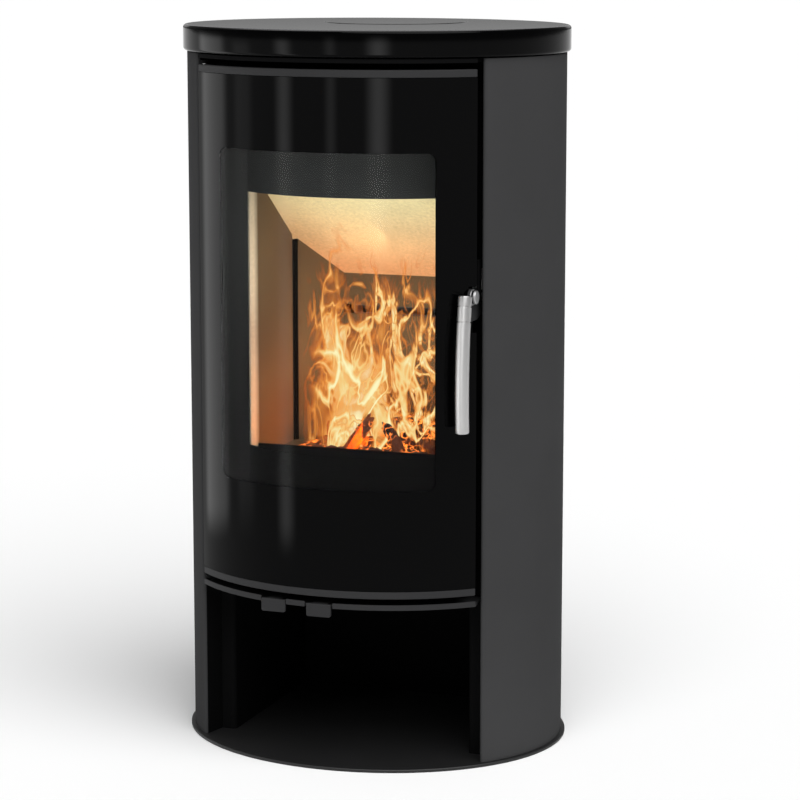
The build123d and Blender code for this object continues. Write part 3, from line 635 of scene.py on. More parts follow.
@dataclass(frozen=True)
class Flame:
    """A thin sheet of fire: curling bright threads over soft tongues, clear in between."""

    name: str
    width: float
    height: float
    seed: float
    push: Noise = Noise(9.0, 2.0, (1.0, 1.0, 0.6))
    push_amount: float = 0.075
    curl: Noise = Noise(23.0, 2.5, (1.0, 1.0, 0.42), 0.9)
    fine: Noise = Noise(48.0, 2.0, (1.0, 1.0, 0.36), 1.0)
    tongue: Noise = Noise(15.0, 2.0, (1.0, 1.0, 0.34), 0.5)
    thread: float = 0.055
    shares: Colour = (0.75, 0.62, 0.24)
    tongue_range: Pair = (0.47, 0.66)
    fading: Pair = (0.95, 0.25)
    fading_range: Pair = (0.05, 0.95)
    side_range: Pair = (0.30, 0.50)
    top_range: Pair = (0.28, 0.62)
    top_lift: float = -0.55
    seen_range: Pair = (0.07, 0.42)
    strength: float = 1.02
    colours: tuple[tuple[float, Colour], ...] = (
        (0.08, (0.72, 0.12, 0.01)),
        (0.28, (0.90, 0.33, 0.06)),
        (0.52, (0.92, 0.61, 0.22)),
        (0.90, (1.0, 0.92, 0.52)),
    )

    def material(self) -> Material:
        """Builds the material, a glow mixed with clear air.

        Returns:
            The material.
        """
        shader = Shader(self.name)
        shader.drift(self.seed, self.push, self.push_amount)
        heat = self.heat(shader)
        feeds = {"Color": shader.ramp(heat, self.colours), "Strength": self.strength}
        fire = shader.node("Emission", feeds).outputs[0]
        clear = shader.node("BsdfTransparent", {}).outputs[0]
        seen = shader.span(heat, (0.0, 1.0), self.seen_range)
        mixed = shader.node("MixShader", {0: seen, 1: clear, 2: fire}).outputs[0]
        shader.feed(mixed, shader.out.inputs["Surface"])
        shader.tree.nodes.remove(shader.surface)
        return shader.material

    def heat(self, shader: Shader) -> Socket:
        """The brightness of the fire over the sheet.

        Args:
            shader: the material under construction.

        Returns:
            The value's socket, 0 where the air is clear.
        """
        curl, tongue, fine = (shader.noise(noise) for noise in (self.curl, self.tongue, self.fine))
        core_share, curl_share, fine_share = self.shares
        threads = shader.product(shader.lines(curl, self.thread), curl_share)
        wisps = shader.product(shader.lines(fine, self.thread), fine_share)
        rise = shader.span(shader.axis(Axis.UP), (0.0, 1.0), (0.0, self.height))
        low = shader.span(rise, self.fading, self.fading_range)
        core = shader.product(shader.span(tongue, (0.0, 1.0), self.tongue_range), low, core_share)
        ragged = shader.work(Step.ADD, rise, shader.product(tongue, self.top_lift))
        tall = shader.span(ragged, (1.0, 0.0), self.top_range)
        edges = tuple(self.width * share for share in self.side_range)
        side = shader.span(shader.away(shader.axis(Axis.ACROSS)), (1.0, 0.0), edges)
        lace = shader.work(Step.ADD, threads, wisps)
        return shader.product(shader.work(Step.ADD, core, lace), tall, side)


STREAK = Noise(1.0, 3.0, (900.0, 900.0, 12.0))
WEAVE = Noise(700.0)
BRUSHED = {"relief": (0.25, 0.00003), "tints": (1.0, 1.0), "unevenness": 0.09, "metallic": 1.0}
WOVEN = {"relief": (0.8, 0.0005), "tints": (1.0, 2.2), "unevenness": 0.0, "cloud_range": (0.35, 0.7)}
# Rear colour of the baffle's painted light from the fire.
BAFFLE_FIRELIGHT_REAR: Colour = (0.78, 0.45, 0.25)
EMBER_COLOURS: tuple[Colour, Colour] = ((0.020, 0.008, 0.012), (0.07, 0.016, 0.014))


class Finish(Enum):
    """Every finish in the scene but those of the flames."""

    PANEL = Grained("panel_paint", (0.046, 0.046, 0.047), 0.8, 0.03)
    BLACK = Grained("black_paint", (0.0045, 0.0045, 0.0047), 0.7, 0.015)
    BASE = Grained("base_plate_paint", (0.007, 0.007, 0.0072), 0.5, 0.45)
    TRIM = Grained("trim_paint", (0.026, 0.026, 0.027), 0.6, 0.15)
    SHEET = Grained("dull_sheet_steel", (0.09, 0.09, 0.095), 0.6)
    CASTING = Grained("raw_casting", (0.045, 0.045, 0.047), 0.75, 0.3, Noise(700.0), (0.5, 0.0003))
    GRIP = Grained("brushed_grip", (0.53, 0.525, 0.52), 0.41, 0.5, STREAK, cloud=STREAK, **BRUSHED)
    PINS = Grained("pin_steel", (0.55, 0.55, 0.55), 0.43, 0.5, STREAK, cloud=STREAK, **BRUSHED)
    ROPE = Grained("rope_seal", (0.05, 0.05, 0.05), 0.95, 0.15, WEAVE, cloud=WEAVE, **WOVEN)
    # The door frame's greyer top is painted light.
    INNER = TopLitPaint("door_frame_paint", (0.003, 0.003, 0.003), 0.9, 0.01, unevenness=0.0)
    # The baffle's pale front and peach rear are painted light from the fire.
    BAFFLE = Vermiculite("baffle_board", (0.82, 0.76, 0.46), rear_colour=BAFFLE_FIRELIGHT_REAR, change=(-0.060, 0.090))
    LINING = Vermiculite("fired_board", (0.72, 0.63, 0.50))
    CORNER = Vermiculite("corner_board", (0.72, 0.63, 0.50), sooted_run=0.0093)
    GLAZE = Smooth("black_glaze", (0.0009, 0.0009, 0.001), 0.1, 0.055, (0.4, 0.00002))
    PRINT = Smooth("black_print", (0.0008, 0.0008, 0.0009), 0.06, 0.05)
    CLEAR = Smooth("clear_door_glass", (0.97, 0.98, 0.97), 0.0, bending=1.12, clear=1.0)
    FLOOR = Smooth("pale_floor", (0.94, 0.94, 0.94), 1.0, 0.0)
    LOG = Charred("burning_log")
    EMBER = Charred("ember_char", EMBER_COLOURS, 4.0, Noise(60.0, 4.0, warp=1.2))

    def material(self) -> Material:
        """The finish's material, built at its first use."""
        return bpy.data.materials.get(self.value.name) or self.value.material()


def place(piece: Piece, body: Body, slot: Slot, node: str, *finishes: Finish) -> None:
    """Gives a new piece its body and finishes, and hides the node it stands for.

    Args:
        piece: the new piece.
        body: the body it moves with.
        slot: not used.
        node: the node it replaces.
        finishes: its finishes, by material number.
    """
    for finish in finishes:
        piece.data.materials.append(finish.material())
    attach(piece, body.value)
    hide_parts(node)
    log.info("%s on %s", piece.name, body.value)


def stage(*pieces: Piece) -> None:
    """Logs pieces that only surround the stove or fill its chamber."""
    log.info("on the stage: %s", ", ".join(piece.name for piece in pieces))


# Sub-assemblies


@dataclass
class PlainParts:
    """Nodes whose shape stays as it is and that only take a finish."""

    nodes: dict[str, Piece]
    groups: tuple[tuple[Finish, str], ...] = (
        (Finish.PANEL, "rear_panel"),
        (Finish.BLACK, "store_right_wall store_left_wall store_back front_frame hinge_brackets"),
        (Finish.BLACK, "firebox_wrap firebox_floor firebox_roof hearth_plate top_outlet_cover top_frame"),
        (Finish.BLACK, "flue_spigot air_inlet_spigot latch_bracket"),
        (Finish.TRIM, "store_ceiling handle_lever primary_air_slide secondary_air_slide"),
        (Finish.INNER, "door_frame inner_door_frame log_guard"),
        (Finish.BAFFLE, "lower_baffle"),
        (Finish.CORNER, "right_corner_lining left_corner_lining"),
        (Finish.LINING, "right_side_lining left_side_lining lower_back_lining upper_back_lining"),
        (Finish.LINING, "front_hearth_slab rear_hearth_slab right_hearth_slab left_hearth_slab"),
        (Finish.SHEET, "upper_baffle baffle_rails rear_air_duct ash_pan air_box intake_plenum"),
        (Finish.SHEET, "rear_heat_shield shield_spacers"),
        (Finish.CASTING, "grate"),
        (Finish.ROPE, "glass_gasket door_gasket top_plate_pads"),
        (Finish.PINS, "panel_screws levelling_screws hinge_pins pivot_washer handle_pin latch_catch"),
    )

    def build(self) -> None:
        """Dresses the nodes."""
        for finish, names in self.groups:
            for name in names.split():
                materials = self.nodes[name].data.materials
                materials.clear()
                materials.append(finish.material())
                log.info("%s takes %s", name, finish.value.name)


@dataclass
class Casing:
    """Top plate, lid, side panels and base plate."""

    plate_z: Pair = (0.886, 0.919)
    plate_round: float = 0.0045
    plate_steps: tuple[int, int] = (8, 6)
    crisp: float = 0.0003  # narrow step that keeps the shading of an edge crisp
    outlet: Pair = (0.0, 0.073)
    seat_radius: float = 0.092
    seat_depth: float = 0.0115
    seat_edge: float = 0.0008
    hole_radius: float = 0.080
    lid_radius: float = 0.091
    lid_thickness: float = 0.012
    lid_round: float = 0.0015
    lid_steps: int = 5
    boss_radius: float = 0.079
    boss_height: float = 0.006
    oval_points: int = 288
    lid_points: int = 160
    panel_inset: float = 0.005
    panel_angles: Pair = (49.8, 140.0)
    panel_steps: int = 90
    panel_z: Pair = (0.004, 0.885)
    panel_sheet: float = 0.002
    panel_edge: float = 0.0005
    return_run: Pair = (-0.008, 0.0385)
    return_margin: float = 0.0006
    bend: float = 0.005
    bend_steps: int = 9
    bend_radian: float = 0.237  # rough length of the oval per radian behind the bend
    base_thickness: float = 0.004
    base_edge: float = 0.0007

    def build(self) -> None:
        """Builds every piece of the casing."""
        self.top_plate()
        self.lid()
        for side in Side:
            self.side_panel(side)
        self.base_plate()

    def oval(self, inset: float, z: float) -> list[Vector]:
        """A level ring round the oval plan."""
        return [lift(point, z) for point in PLAN.ring(inset, self.oval_points)]

    def circle(self, radius: float, z: float, count: int) -> list[Vector]:
        """A level ring round the middle of the outlet."""
        side, up = Vector((0, -1, 0)), Vector((1, 0, 0))
        return ring_about(Vector((*self.outlet, z)), side, up, [radius] * count)

    def top_plate(self) -> None:
        """The glazed oval plate with its round seat for the lid."""
        low, high = self.plate_z
        ledge, flat = high - self.seat_depth, self.plate_round + self.crisp
        top, foot = (quarter(self.plate_round, steps) for steps in self.plate_steps)
        seat, edge, hole = self.seat_radius, self.seat_edge, self.hole_radius
        well = [(seat + edge + self.crisp, high), (seat + edge, high), (seat, high - edge)]
        well += [(seat, ledge), (hole, ledge), (hole, low)]
        rings = [self.oval(0.0, (low + high) / 2)] + [self.oval(i, high - d) for i, d in top]
        rings += [self.oval(flat, high)] + [self.circle(*spot, self.oval_points) for spot in well]
        rings += [self.oval(flat, low)] + [self.oval(i, low + d) for i, d in reversed(foot)]
        plate = ring_body("top_plate_glazed", rings, closed=True, sharp=50.0)
        place(plate, Body.STOVE, Slot.GLAZE, "top_plate", Finish.GLAZE)

    def lid(self) -> None:
        """The round lid that closes the spare outlet in the top."""
        seat = self.plate_z[1] - self.seat_depth
        top = seat + self.lid_thickness
        boss, edge = self.boss_radius, self.lid_radius
        outline = [(boss, seat - self.boss_height), (boss, seat), (edge, seat)]
        outline += [(edge - i, top - d) for i, d in quarter(self.lid_round, self.lid_steps)]
        outline.append((edge - self.lid_round - self.crisp, top))
        lid = ring_body("flue_lid_glazed", [self.circle(*spot, self.lid_points) for spot in outline])
        place(lid, Body.LID, Slot.GLAZE, "flue_lid", Finish.GLAZE)

    def corner(self) -> Vector:
        """Where the return and the curve of a side panel would meet without the bend."""
        return PLAN.at(self.panel_inset, self.panel_angles[0])

    def panel_path(self) -> list[Vector]:
        """Plan of the right panel's outer face, from its return round the bend to the rear.

        Returns:
            The plan's points.
        """
        (start, end), corner = self.panel_angles, self.corner()
        inward = Vector(self.return_run).normalized()
        along = PLAN.tangent(self.panel_inset, start)
        reach = self.bend * math.tan((-inward).angle(along) / 2)
        first, last = corner + inward * reach, corner + along * reach
        path = [corner + Vector(self.return_run), first]
        for i in range(1, self.bend_steps):
            share = i / self.bend_steps
            path.append(first.lerp(corner, share).lerp(corner.lerp(last, share), share))
        begin = start + math.degrees(reach / self.bend_radian)
        return path + PLAN.arc(self.panel_inset, begin, end, self.panel_steps)

    def side_panel(self, side: Side) -> None:
        """One curved side panel, whose return at the front edge is black as painted shade.

        Args:
            side: the side of the stove.
        """
        path = self.panel_path()
        back = []
        for i, point in enumerate(path):
            step = (path[min(i + 1, len(path) - 1)] - path[max(i - 1, 0)]).normalized()
            back.append(point + Vector((-step.y, step.x)) * self.panel_sheet)
        faces = ([Vector((side.value * p.x, p.y)) for p in face] for face in (path, back))
        name = side.name.lower()
        panel = strip_solid(f"{name}_panel_sheet", *faces, *self.panel_z)
        soften(panel, self.panel_edge)
        place(panel, Body.STOVE, Slot.PANEL, f"{name}_side_panel", Finish.PANEL, Finish.BLACK)
        # The return's faces take the black finish: painted shade, where the return lies in shadow.
        shaded_return_limit = self.corner().x - self.return_margin
        for face in panel.data.polygons:
            face.material_index = int(abs(face.center.x) < shaded_return_limit and face.center.y < 0)

    def base_plate(self) -> None:
        """The oval plate on the floor."""
        edge, top = self.base_edge, self.base_thickness
        rings = [self.oval(i, z) for i, z in ((edge, 0.0), (0.0, edge), (0.0, top - edge), (edge, top))]
        place(ring_body("base_plate_oval", rings), Body.STOVE, Slot.BLACK, "base_plate", Finish.BASE)


@dataclass
class Door:
    """Curved glass with its print and the two bars that hold it."""

    inset: float = 0.0027
    thickness: float = 0.004
    half_angle: float = 47.9
    glass_z: Pair = (0.2313, 0.8625)
    window_half: float = 0.142
    window_z: Pair = (0.357, 0.772)
    window_round: float = 0.011
    window_steps: int = 8
    notch_x: float = 0.1745
    notch_z: Pair = (0.552, 0.609)
    ribs: int = 96
    rows: int = 12
    run_steps: int = 64
    tolerance: float = 1e-7
    bar_height: float = 0.0094
    bar_depth: float = 0.012
    bar_round: float = 0.0011
    bar_steps: int = 3
    bar_bottoms: tuple[tuple[str, float], ...] = (("bottom", 0.2217), ("top", 0.8627))
    rib_runs: list[Pair] = field(init=False)
    edge_run: float = field(init=False)
    cut_run: float = field(init=False)
    window_run: float = field(init=False)

    def __post_init__(self) -> None:
        """Measures lengths along the outer face, from its middle."""
        angles = [self.half_angle * (2 * i / self.ribs - 1) for i in range(self.ribs + 1)]
        self.rib_runs = [(self.run(angle), angle) for angle in angles]
        self.edge_run = self.rib_runs[-1][0]
        self.cut_run, self.window_run = (self.run_at(x) for x in (self.notch_x, self.window_half))

    def build(self) -> None:
        """Builds the glass and the bars."""
        self.glass()
        for name, bottom in self.bar_bottoms:
            self.bar(name, bottom)

    def run(self, angle: float) -> float:
        """Length along the outer face from the middle to an angle, by short steps."""
        points = PLAN.arc(self.inset, 0.0, angle, self.run_steps)
        return math.copysign(sum((b - a).length for a, b in zip(points, points[1:])), angle)

    def run_at(self, x: float) -> float:
        """Length along the outer face at a distance from the middle plane."""
        return self.run(math.degrees(math.asin(x / (PLAN.half_width - self.inset))))

    def angle_at(self, run: float) -> float:
        """Angle at a length along the face.

        Args:
            run: the length.

        Returns:
            The angle in degrees.
        """
        for (r0, a0), (r1, a1) in zip(self.rib_runs, self.rib_runs[1:]):
            if run <= r1 + self.tolerance:
                return a0 + (a1 - a0) * (run - r0) / (r1 - r0)
        return self.half_angle

    def outline(self) -> list[Pair]:
        """Corners of the unrolled pane, with the cut-out beside the handle.

        Returns:
            Length along the face and height of each corner.
        """
        (low, high), (sill, head), edge, cut = self.glass_z, self.notch_z, self.edge_run, self.cut_run
        right = [(edge, low), (edge, sill), (cut, sill), (cut, head), (edge, head), (edge, high)]
        return [(-edge, low)] + right + [(-edge, high)]

    def window(self) -> list[Pair]:
        """Edge of the unrolled window, with its round corners.

        Returns:
            Length along the face and height of each point.
        """
        r, steps = self.window_round, self.window_steps
        side, (low, high) = self.window_run - r, self.window_z
        corners = ((side, low + r, -90), (side, high - r, 0), (-side, high - r, 90), (-side, low + r, 180))
        edge = []
        for x, z, start in corners:
            turns = [math.radians(start + 90 * i / steps) for i in range(steps + 1)]
            edge += [(x + r * math.cos(t), z + r * math.sin(t)) for t in turns]
        return edge

    def in_notch(self, spot: Vector) -> bool:
        """True in the cut-out."""
        return spot.x > self.cut_run and self.notch_z[0] < spot.y < self.notch_z[1]

    def in_window(self, spot: Vector) -> bool:
        """Tells whether a spot of the unrolled pane is clear.

        Args:
            spot: length along the face and height.

        Returns:
            True in the window.
        """
        (low, high), r = self.window_z, self.window_round
        across = max(abs(spot.x) - self.window_run + r, 0)
        return math.hypot(across, max(abs(spot.y - (low + high) / 2) - (high - low) / 2 + r, 0)) < r

    def flat_pane(self) -> tuple[list[Vector], list[list[int]], list[Vector]]:
        """Cuts the unrolled pane into triangles along its ribs, its rows and the window's edge.

        Returns:
            Points by length along the face and height, corner numbers of each triangle, and their middles.
        """
        points, lines = [], []
        for ring in (self.outline(), self.window()):
            first, count = len(points), len(ring)
            lines += [(first + i, first + (i + 1) % count) for i in range(count)]
            points += ring
        low, high = self.glass_z
        ribs = [((run, low), (run, high)) for run, _ in self.rib_runs[1:-1]]
        heights = [low + (high - low) * i / self.rows for i in range(1, self.rows)]
        for line in ribs + [((-self.edge_run, z), (self.edge_run, z)) for z in heights]:
            lines.append((len(points), len(points) + 1))
            points += line
        flat, _, triangles, *_ = delaunay_2d_cdt([Vector(p) for p in points], lines, [], 0, self.tolerance)
        middles = [sum((flat[i] for i in triangle), Vector((0, 0))) / 3 for triangle in triangles]
        kept = [(t, m) for t, m in zip(triangles, middles) if not self.in_notch(m)]
        return flat, [t for t, _ in kept], [m for _, m in kept]

    def glass(self) -> None:
        """The bent pane, printed black round a clear window."""
        flat, triangles, middles = self.flat_pane()
        angles = [self.angle_at(p.x) for p in flat]
        vertices = []
        for depth in (self.inset, self.inset + self.thickness):
            spots = [PLAN.at(depth, angle) for angle in angles]
            vertices += [Vector((spot.x, spot.y, p.y)) for spot, p in zip(spots, flat)]
        count = len(flat)
        faces = [tuple(t) for t in triangles] + [tuple(i + count for i in reversed(t)) for t in triangles]
        sides = Counter(tuple(sorted(side)) for t in triangles for side in zip(t, t[1:] + t[:1]))
        faces += [(a, b, b + count, a + count) for (a, b), times in sides.items() if times == 1]
        pane = new_piece("door_glass_pane", vertices, faces)
        place(pane, Body.DOOR, Slot.GLASS, "door_glass", Finish.PRINT, Finish.CLEAR)
        for face, middle in zip(pane.data.polygons, middles + middles):
            face.material_index = int(self.in_window(middle))

    def bar(self, name: str, bottom: float) -> None:
        """One of the two bars that hold the glass.

        Args:
            name: top or bottom.
            bottom: height of its underside.
        """
        insets = self.inset, self.inset + self.bar_depth
        faces = (PLAN.arc(inset, -self.half_angle, self.half_angle, self.ribs) for inset in insets)
        bar = strip_solid(f"door_{name}_bar", *faces, bottom, bottom + self.bar_height)
        soften(bar, self.bar_round, self.bar_steps)
        place(bar, Body.DOOR, Slot.TRIM, f"door_{name}_trim", Finish.TRIM)


@dataclass
class Handle:
    """The bowed grip with its two ring grooves."""

    x: float = 0.178
    top_y: float = -0.172
    top_z: float = 0.600
    apex_drop: float = 0.120
    apex_reach: float = 0.0115
    length: float = 0.167
    radius: float = 0.0085
    edge: float = 0.0012
    edge_steps: int = 5
    grooves: Pair = (0.0125, 0.031)
    groove_width: float = 0.0014
    groove_depth: float = 0.0009
    groove_flank: float = 0.0003
    ring_gap: float = 0.012
    ring_points: int = 48
    nudge: float = 0.001

    def point(self, drop: float) -> Vector:
        """Middle of the grip at a drop below its top."""
        back = self.apex_reach * (drop / self.apex_drop - 1) ** 2
        return Vector((self.x, self.top_y - self.apex_reach + back, self.top_z - drop))

    def profile(self) -> list[Pair]:
        """Outline of the grip, from the top to the foot.

        Returns:
            Drop and radius of each ring.
        """
        edge = quarter(self.edge, self.edge_steps)
        rings = [(d, self.radius - i) for i, d in reversed(edge)]
        half, deep = self.groove_width / 2, self.radius - self.groove_depth
        for groove in self.grooves:
            rings += [(groove - half - self.groove_flank, self.radius), (groove - half, deep)]
            rings += [(groove + half, deep), (groove + half + self.groove_flank, self.radius)]
        plain = int((self.length - self.grooves[1]) / self.ring_gap)
        rings += [(self.grooves[1] + self.ring_gap * i, self.radius) for i in range(1, plain + 1)]
        return rings + [(self.length - d, self.radius - i) for i, d in edge]

    def build(self) -> None:
        """Builds the grip."""
        side = Vector((1, 0, 0))
        rings = []
        for drop, radius in self.profile():
            axis = (self.point(drop + self.nudge) - self.point(drop - self.nudge)).normalized()
            rings.append(ring_about(self.point(drop), side, axis.cross(side), [radius] * self.ring_points))
        place(ring_body("handle_grip_bar", rings), Body.HANDLE, Slot.GRIP, "handle_grip", Finish.GRIP)


# Lamps, fire and studio


LAMP_POWER = 4.0  # watts per square metre of an area lamp whose face has brightness 1


@dataclass(frozen=True)
class Lamp:
    """A rectangular lamp, aimed at a point and given by the brightness of its face."""

    name: str
    place: Place
    aim: Place
    size: Pair
    brightness: float
    colour: Colour = (1.0, 1.0, 1.0)
    soft_sides: float = 0.0
    soft_ends: float = 0.0
    mirrored: bool = True

    def build(self) -> None:
        """Adds the lamp, which only shows mirrored in smooth faces or else only lights dull ones."""
        data = bpy.data.lights.new(self.name, "AREA")
        data.shape = "RECTANGLE"
        data.size, data.size_y = self.size
        data.energy = self.brightness * LAMP_POWER * self.size[0] * self.size[1]
        data.color = self.colour
        if self.soft_sides or self.soft_ends:
            self.fade(data)
        lamp = bpy.data.objects.new(self.name, data)
        lamp.location = self.place
        lamp.rotation_euler = (Vector(self.aim) - Vector(self.place)).to_track_quat("-Z", "Y").to_euler()
        lamp.visible_camera = False
        lamp.visible_transmission = False
        lamp.visible_glossy = self.mirrored
        lamp.visible_diffuse = not self.mirrored
        bpy.context.scene.collection.objects.link(lamp)
        log.info("lamp %s", self.name)

    def fade(self, data: bpy.types.AreaLight) -> None:
        """Fades the lamp's face toward its sides and ends, as a cloth over it would.

        Args:
            data: the lamp's data.
        """
        data.use_nodes = True
        nodes = Nodes(data.node_tree)
        face = nodes.node("NewGeometry", {}).outputs["Parametric"]
        shares = []
        for axis, soft in ((Axis.ACROSS, self.soft_sides), (Axis.DEPTH, self.soft_ends)):
            if soft:
                inward = nodes.work(Step.FOLD, nodes.part(face, axis), 0.5)
                feeds = {"Value": inward, "From Max": soft / 2}
                share = nodes.node("MapRange", feeds, interpolation_type="SMOOTHSTEP")
                shares.append(share.outputs["Result"])
        nodes.feed(nodes.product(*shares), data.node_tree.nodes["Emission"].inputs["Strength"])


@dataclass(frozen=True)
class Strip:
    """An upright soft lamp that stands where the door's curved glass mirrors it to the camera.

    Its azimuth is counted in degrees from the front toward the handle, as seen from the glass.
    """

    name: str
    azimuth: float
    reach: float
    height: float
    size: Pair
    brightness: float
    soft_sides: float
    soft_ends: float
    glass_inset: float = 0.0027
    glass_half_angle: int = 48
    tries_per_degree: float = 2.5

    def mirror_spot(self, eye: Vector) -> Vector:
        """Finds where the glass shows the lamp.

        Args:
            eye: the camera's place in plan.

        Returns:
            The spot of the glass, in plan.
        """

        def miss(angle: float) -> float:
            """Tells how far from the lamp the glass mirrors the camera's ray.

            Args:
                angle: where the ray meets the glass, in degrees from the middle.

            Returns:
                Degrees between the mirrored ray and the lamp.
            """
            along = PLAN.tangent(self.glass_inset, angle)
            ray = (PLAN.at(self.glass_inset, angle) - eye).normalized()
            mirrored = 2 * ray.dot(along) * along - ray
            return abs(math.degrees(math.atan2(mirrored.x, -mirrored.y)) - self.azimuth)

        tries = int(self.glass_half_angle * self.tries_per_degree)
        angles = [i / self.tries_per_degree for i in range(-tries, tries + 1)]
        return PLAN.at(self.glass_inset, min(angles, key=miss))

    def build(self, camera: Place) -> None:
        """Builds the lamp.

        Args:
            camera: the camera's place.
        """
        spot = self.mirror_spot(Vector(camera).to_2d())
        turn = math.radians(self.azimuth)
        stand = (spot.x + self.reach * math.sin(turn), spot.y - self.reach * math.cos(turn), self.height)
        aim = (spot.x, spot.y, self.height)
        soft = {"soft_sides": self.soft_sides, "soft_ends": self.soft_ends}
        Lamp(self.name, stand, aim, self.size, self.brightness, **soft).build()


@dataclass
class Fire:
    """A small wood fire on the grate, there only to light and fill the chamber."""

    seed: int = 5
    bed_middle: Place = (0.004, -0.006, 0.3695)
    bed_half: Pair = (0.112, 0.078)
    bed_cells: tuple[int, int] = (64, 40)
    bed_height: float = 0.014
    bed_lumps: Pair = (0.55, 1.0)
    bed_flatness: int = 4
    log_rings: int = 18
    log_points: int = 20
    log_split: Pair = (0.82, 1.12)
    log_rough: Pair = (0.94, 1.06)
    logs: tuple[tuple[Place, Place, float], ...] = (
        ((-0.019, -0.054, 0.375), (0.013, -0.036, 0.428), 0.0085),
        ((0.052, -0.054, 0.377), (0.013, -0.030, 0.431), 0.0080),
        ((-0.075, 0.020, 0.386), (0.050, 0.042, 0.396), 0.0130),
        ((0.098, 0.030, 0.386), (-0.010, 0.052, 0.404), 0.0130),
        ((-0.062, -0.034, 0.380), (0.030, -0.022, 0.382), 0.0100),
        ((0.100, -0.040, 0.382), (0.040, -0.016, 0.386), 0.0110),
    )
    flames: tuple[tuple[Flame, Place], ...] = (
        (Flame("flame_front", 0.210, 0.245, 0.31), (0.022, -0.046, 0.374)),
        (Flame("flame_middle", 0.235, 0.320, 1.94), (0.012, -0.005, 0.370)),
        (Flame("flame_back", 0.235, 0.290, 3.12), (0.006, 0.035, 0.370)),
    )
    lamps: tuple[tuple[str, Place, Place, Pair, float, Colour], ...] = (
        ("fire_up", (0.010, 0.010, 0.430), (0.020, -0.030, 0.8), (0.16, 0.10), 2.4, (1.0, 0.74, 0.52)),
        ("fire_crown", (0.040, -0.125, 0.560), (0.030, -0.040, 0.70), (0.20, 0.09), 2.5, (1.0, 1.0, 0.86)),
        ("fire_sides", (0.010, -0.020, 0.520), (-1.0, -0.10, 0.500), (0.10, 0.26), 0.80, (1.0, 0.82, 0.56)),
        ("ember_sides", (0.000, -0.010, 0.395), (-1.0, 0.00, 0.360), (0.14, 0.04), 21.0, (1.0, 0.28, 0.0)),
        ("fire_rear", (0.020, -0.020, 0.480), (0.020, 1.0, 0.48), (0.16, 0.18), 1.2, (1.0, 0.72, 0.42)),
    )

    def build(self) -> None:
        """Builds embers, logs and flames and lights the chamber."""
        chance = Random(self.seed)
        pieces = [self.embers(chance)]
        for number, (start, end, radius) in enumerate(self.logs):
            ends = Vector(start), Vector(end)
            pieces.append(self.split_log(f"fire_log_{number}", *ends, radius, chance))
        stage(*pieces, *[self.sheet(flame, spot) for flame, spot in self.flames])
        for values in self.lamps:
            Lamp(*values, mirrored=False).build()

    def split_log(self, name: str, start: Vector, end: Vector, radius: float, chance: Random) -> Piece:
        """A split log.

        Args:
            name: the piece's name.
            start: middle of one end.
            end: middle of the other end.
            radius: rough radius.
            chance: source of the uneven shape.

        Returns:
            The log.
        """
        axis = (end - start).normalized()
        side = axis.orthogonal().normalized()
        shape = [radius * chance.uniform(*self.log_split) for _ in range(self.log_points)]
        rings = []
        for r in range(self.log_rings + 1):
            reaches = [reach * chance.uniform(*self.log_rough) for reach in shape]
            rings.append(ring_about(start.lerp(end, r / self.log_rings), side, axis.cross(side), reaches))
        piece = ring_body(name, rings, sharp=50.0)
        piece.data.materials.append(Finish.LOG.material())
        return piece

    def embers(self, chance: Random) -> Piece:
        """A low bed of glowing lumps.

        Args:
            chance: source of the lumps.

        Returns:
            The bed.
        """
        (across, deep), (x, y, z), (half_x, half_y) = self.bed_cells, self.bed_middle, self.bed_half
        points = []
        for j in range(deep + 1):
            for i in range(across + 1):
                u, v = 2 * i / across - 1, 2 * j / deep - 1
                fall = (1 - u**self.bed_flatness) * (1 - v**self.bed_flatness)
                height = self.bed_height * fall * chance.uniform(*self.bed_lumps)
                points.append(Vector((x + u * half_x, y + v * half_y, z + height)))
        corners = [j * (across + 1) + i for j in range(deep) for i in range(across)]
        faces = [(a, a + 1, a + across + 2, a + across + 1) for a in corners]
        bed = new_piece("ember_bed", points, faces, sharp=60.0)
        bed.data.materials.append(Finish.EMBER.material())
        return bed

    def sheet(self, flame: Flame, spot: Place) -> Piece:
        """One upright sheet of fire, seen but casting no light of its own.

        Args:
            flame: its finish and size.
            spot: the middle of its foot.

        Returns:
            The sheet.
        """
        half, height = flame.width / 2, flame.height
        corners = [Vector((x, 0, z)) for x, z in ((-half, 0), (half, 0), (half, height), (-half, height))]
        sheet = new_piece(flame.name, corners, [(0, 1, 2, 3)])
        sheet.location = spot
        sheet.data.materials.append(flame.material())
        sheet.visible_diffuse = False
        sheet.visible_glossy = False
        sheet.visible_shadow = False
        return sheet


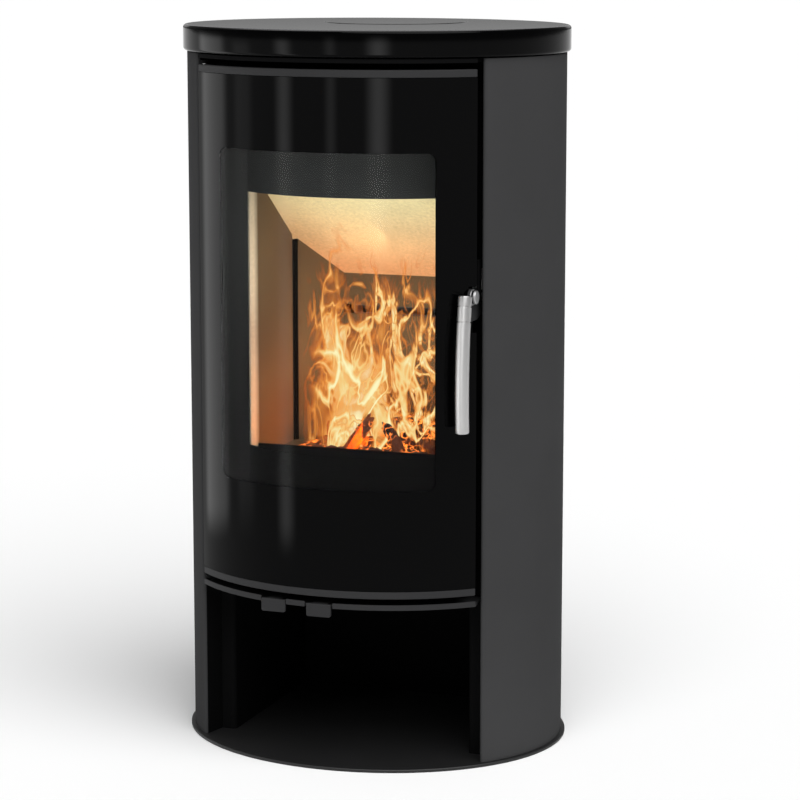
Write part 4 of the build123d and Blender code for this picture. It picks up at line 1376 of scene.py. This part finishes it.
@dataclass
class Studio:
    """Floor, world, lamps and camera."""

    floor_half: float = 60.0
    world_colour: Colour = (0.15, 0.15, 0.15)
    sun_strength: float = 3.4
    sun_azimuth: float = 38.0
    sun_height: float = 58.0
    sun_spread: float = 60.0
    camera_place: Place = (1.2505, -3.3828, 1.0553)
    camera_yaw: float = -19.81
    camera_pitch: float = -9.77
    lens: float = 126.8
    sensor: float = 36.0
    strips: tuple[Strip, ...] = (
        Strip("left_wide", -93, 1.2, 0.46, (0.72, 0.92), 2.35, 0.50, 0.15),
        Strip("left_fill", -66, 1.2, 0.46, (0.40, 0.92), 0.9, 0.7, 0.3),
        Strip("strip_left", -39, 1.15, 0.46, (0.30, 0.92), 4.1, 1.0, 0.15),
        Strip("strip_middle", -13, 1.15, 0.70, (0.20, 0.56), 1.9, 1.0, 0.5),
        Strip("strip_right", 12, 1.15, 0.70, (0.38, 0.56), 5.0, 1.0, 0.5),
    )
    sheets: tuple[Lamp, ...] = (
        Lamp("rear_sheet", (-1.15, 3.2, 1.46), (0, 0, 0.919), (4.0, 0.95), 0.37, soft_ends=0.5),
        Lamp("ceiling", (-0.4, 0.7, 2.6), (0, 0, 0.919), (2.6, 2.2), 5.0, soft_sides=0.6, soft_ends=0.9),
    )

    def build(self) -> None:
        """Sets up everything round the stove."""
        self.floor()
        self.world()
        self.sun()
        self.lamps()
        self.camera()

    def floor(self) -> None:
        """A pale floor without an edge in view."""
        h = self.floor_half
        corners = [Vector((-h, -h, 0)), Vector((h, -h, 0)), Vector((h, h, 0)), Vector((-h, h, 0))]
        floor = new_piece("studio_floor", corners, [(0, 1, 2, 3)])
        floor.data.materials.append(Finish.FLOOR.material())
        stage(floor)

    def world(self) -> None:
        """An even grey world."""
        world = bpy.data.worlds.new("studio")
        world.use_nodes = True
        world.node_tree.nodes["Background"].inputs["Color"].default_value = (*self.world_colour, 1.0)
        bpy.context.scene.world = world

    def sun(self) -> None:
        """One very soft light from high on the handle side, which lights the whole floor evenly."""
        data = bpy.data.lights.new("soft_key", "SUN")
        data.energy = self.sun_strength
        data.angle = math.radians(self.sun_spread)
        sun = bpy.data.objects.new("soft_key", data)
        turn, rise = math.radians(self.sun_azimuth), math.radians(self.sun_height)
        toward = Vector((math.sin(turn) * math.cos(rise), -math.cos(turn) * math.cos(rise), math.sin(rise)))
        sun.rotation_euler = (-toward).to_track_quat("-Z", "Y").to_euler()
        bpy.context.scene.collection.objects.link(sun)

    def lamps(self) -> None:
        """Soft strips that show in the glass, and two sheets that show in the glaze of the top."""
        for strip in self.strips:
            strip.build(self.camera_place)
        for sheet in self.sheets:
            sheet.build()

    def camera(self) -> None:
        """The camera at the photograph's viewing angle."""
        data = bpy.data.cameras.new("camera")
        data.lens = self.lens
        data.sensor_width = self.sensor
        camera = bpy.data.objects.new("camera", data)
        yaw, pitch = math.radians(self.camera_yaw), math.radians(self.camera_pitch)
        aim = Vector((math.sin(yaw) * math.cos(pitch), math.cos(yaw) * math.cos(pitch), math.sin(pitch)))
        camera.location = self.camera_place
        camera.rotation_euler = aim.to_track_quat("-Z", "Y").to_euler()
        bpy.context.scene.collection.objects.link(camera)
        bpy.context.scene.camera = camera


def main() -> None:
    """Builds the whole scene."""
    logging.basicConfig(level=logging.INFO, format="%(message)s")
    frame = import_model()
    bpy.context.scene.view_settings.view_transform = "Standard"
    for part in (PlainParts(frame["nodes"]), Casing(), Door(), Handle(), Fire(), Studio()):
        part.build()


if __name__ == "__main__":
    main()
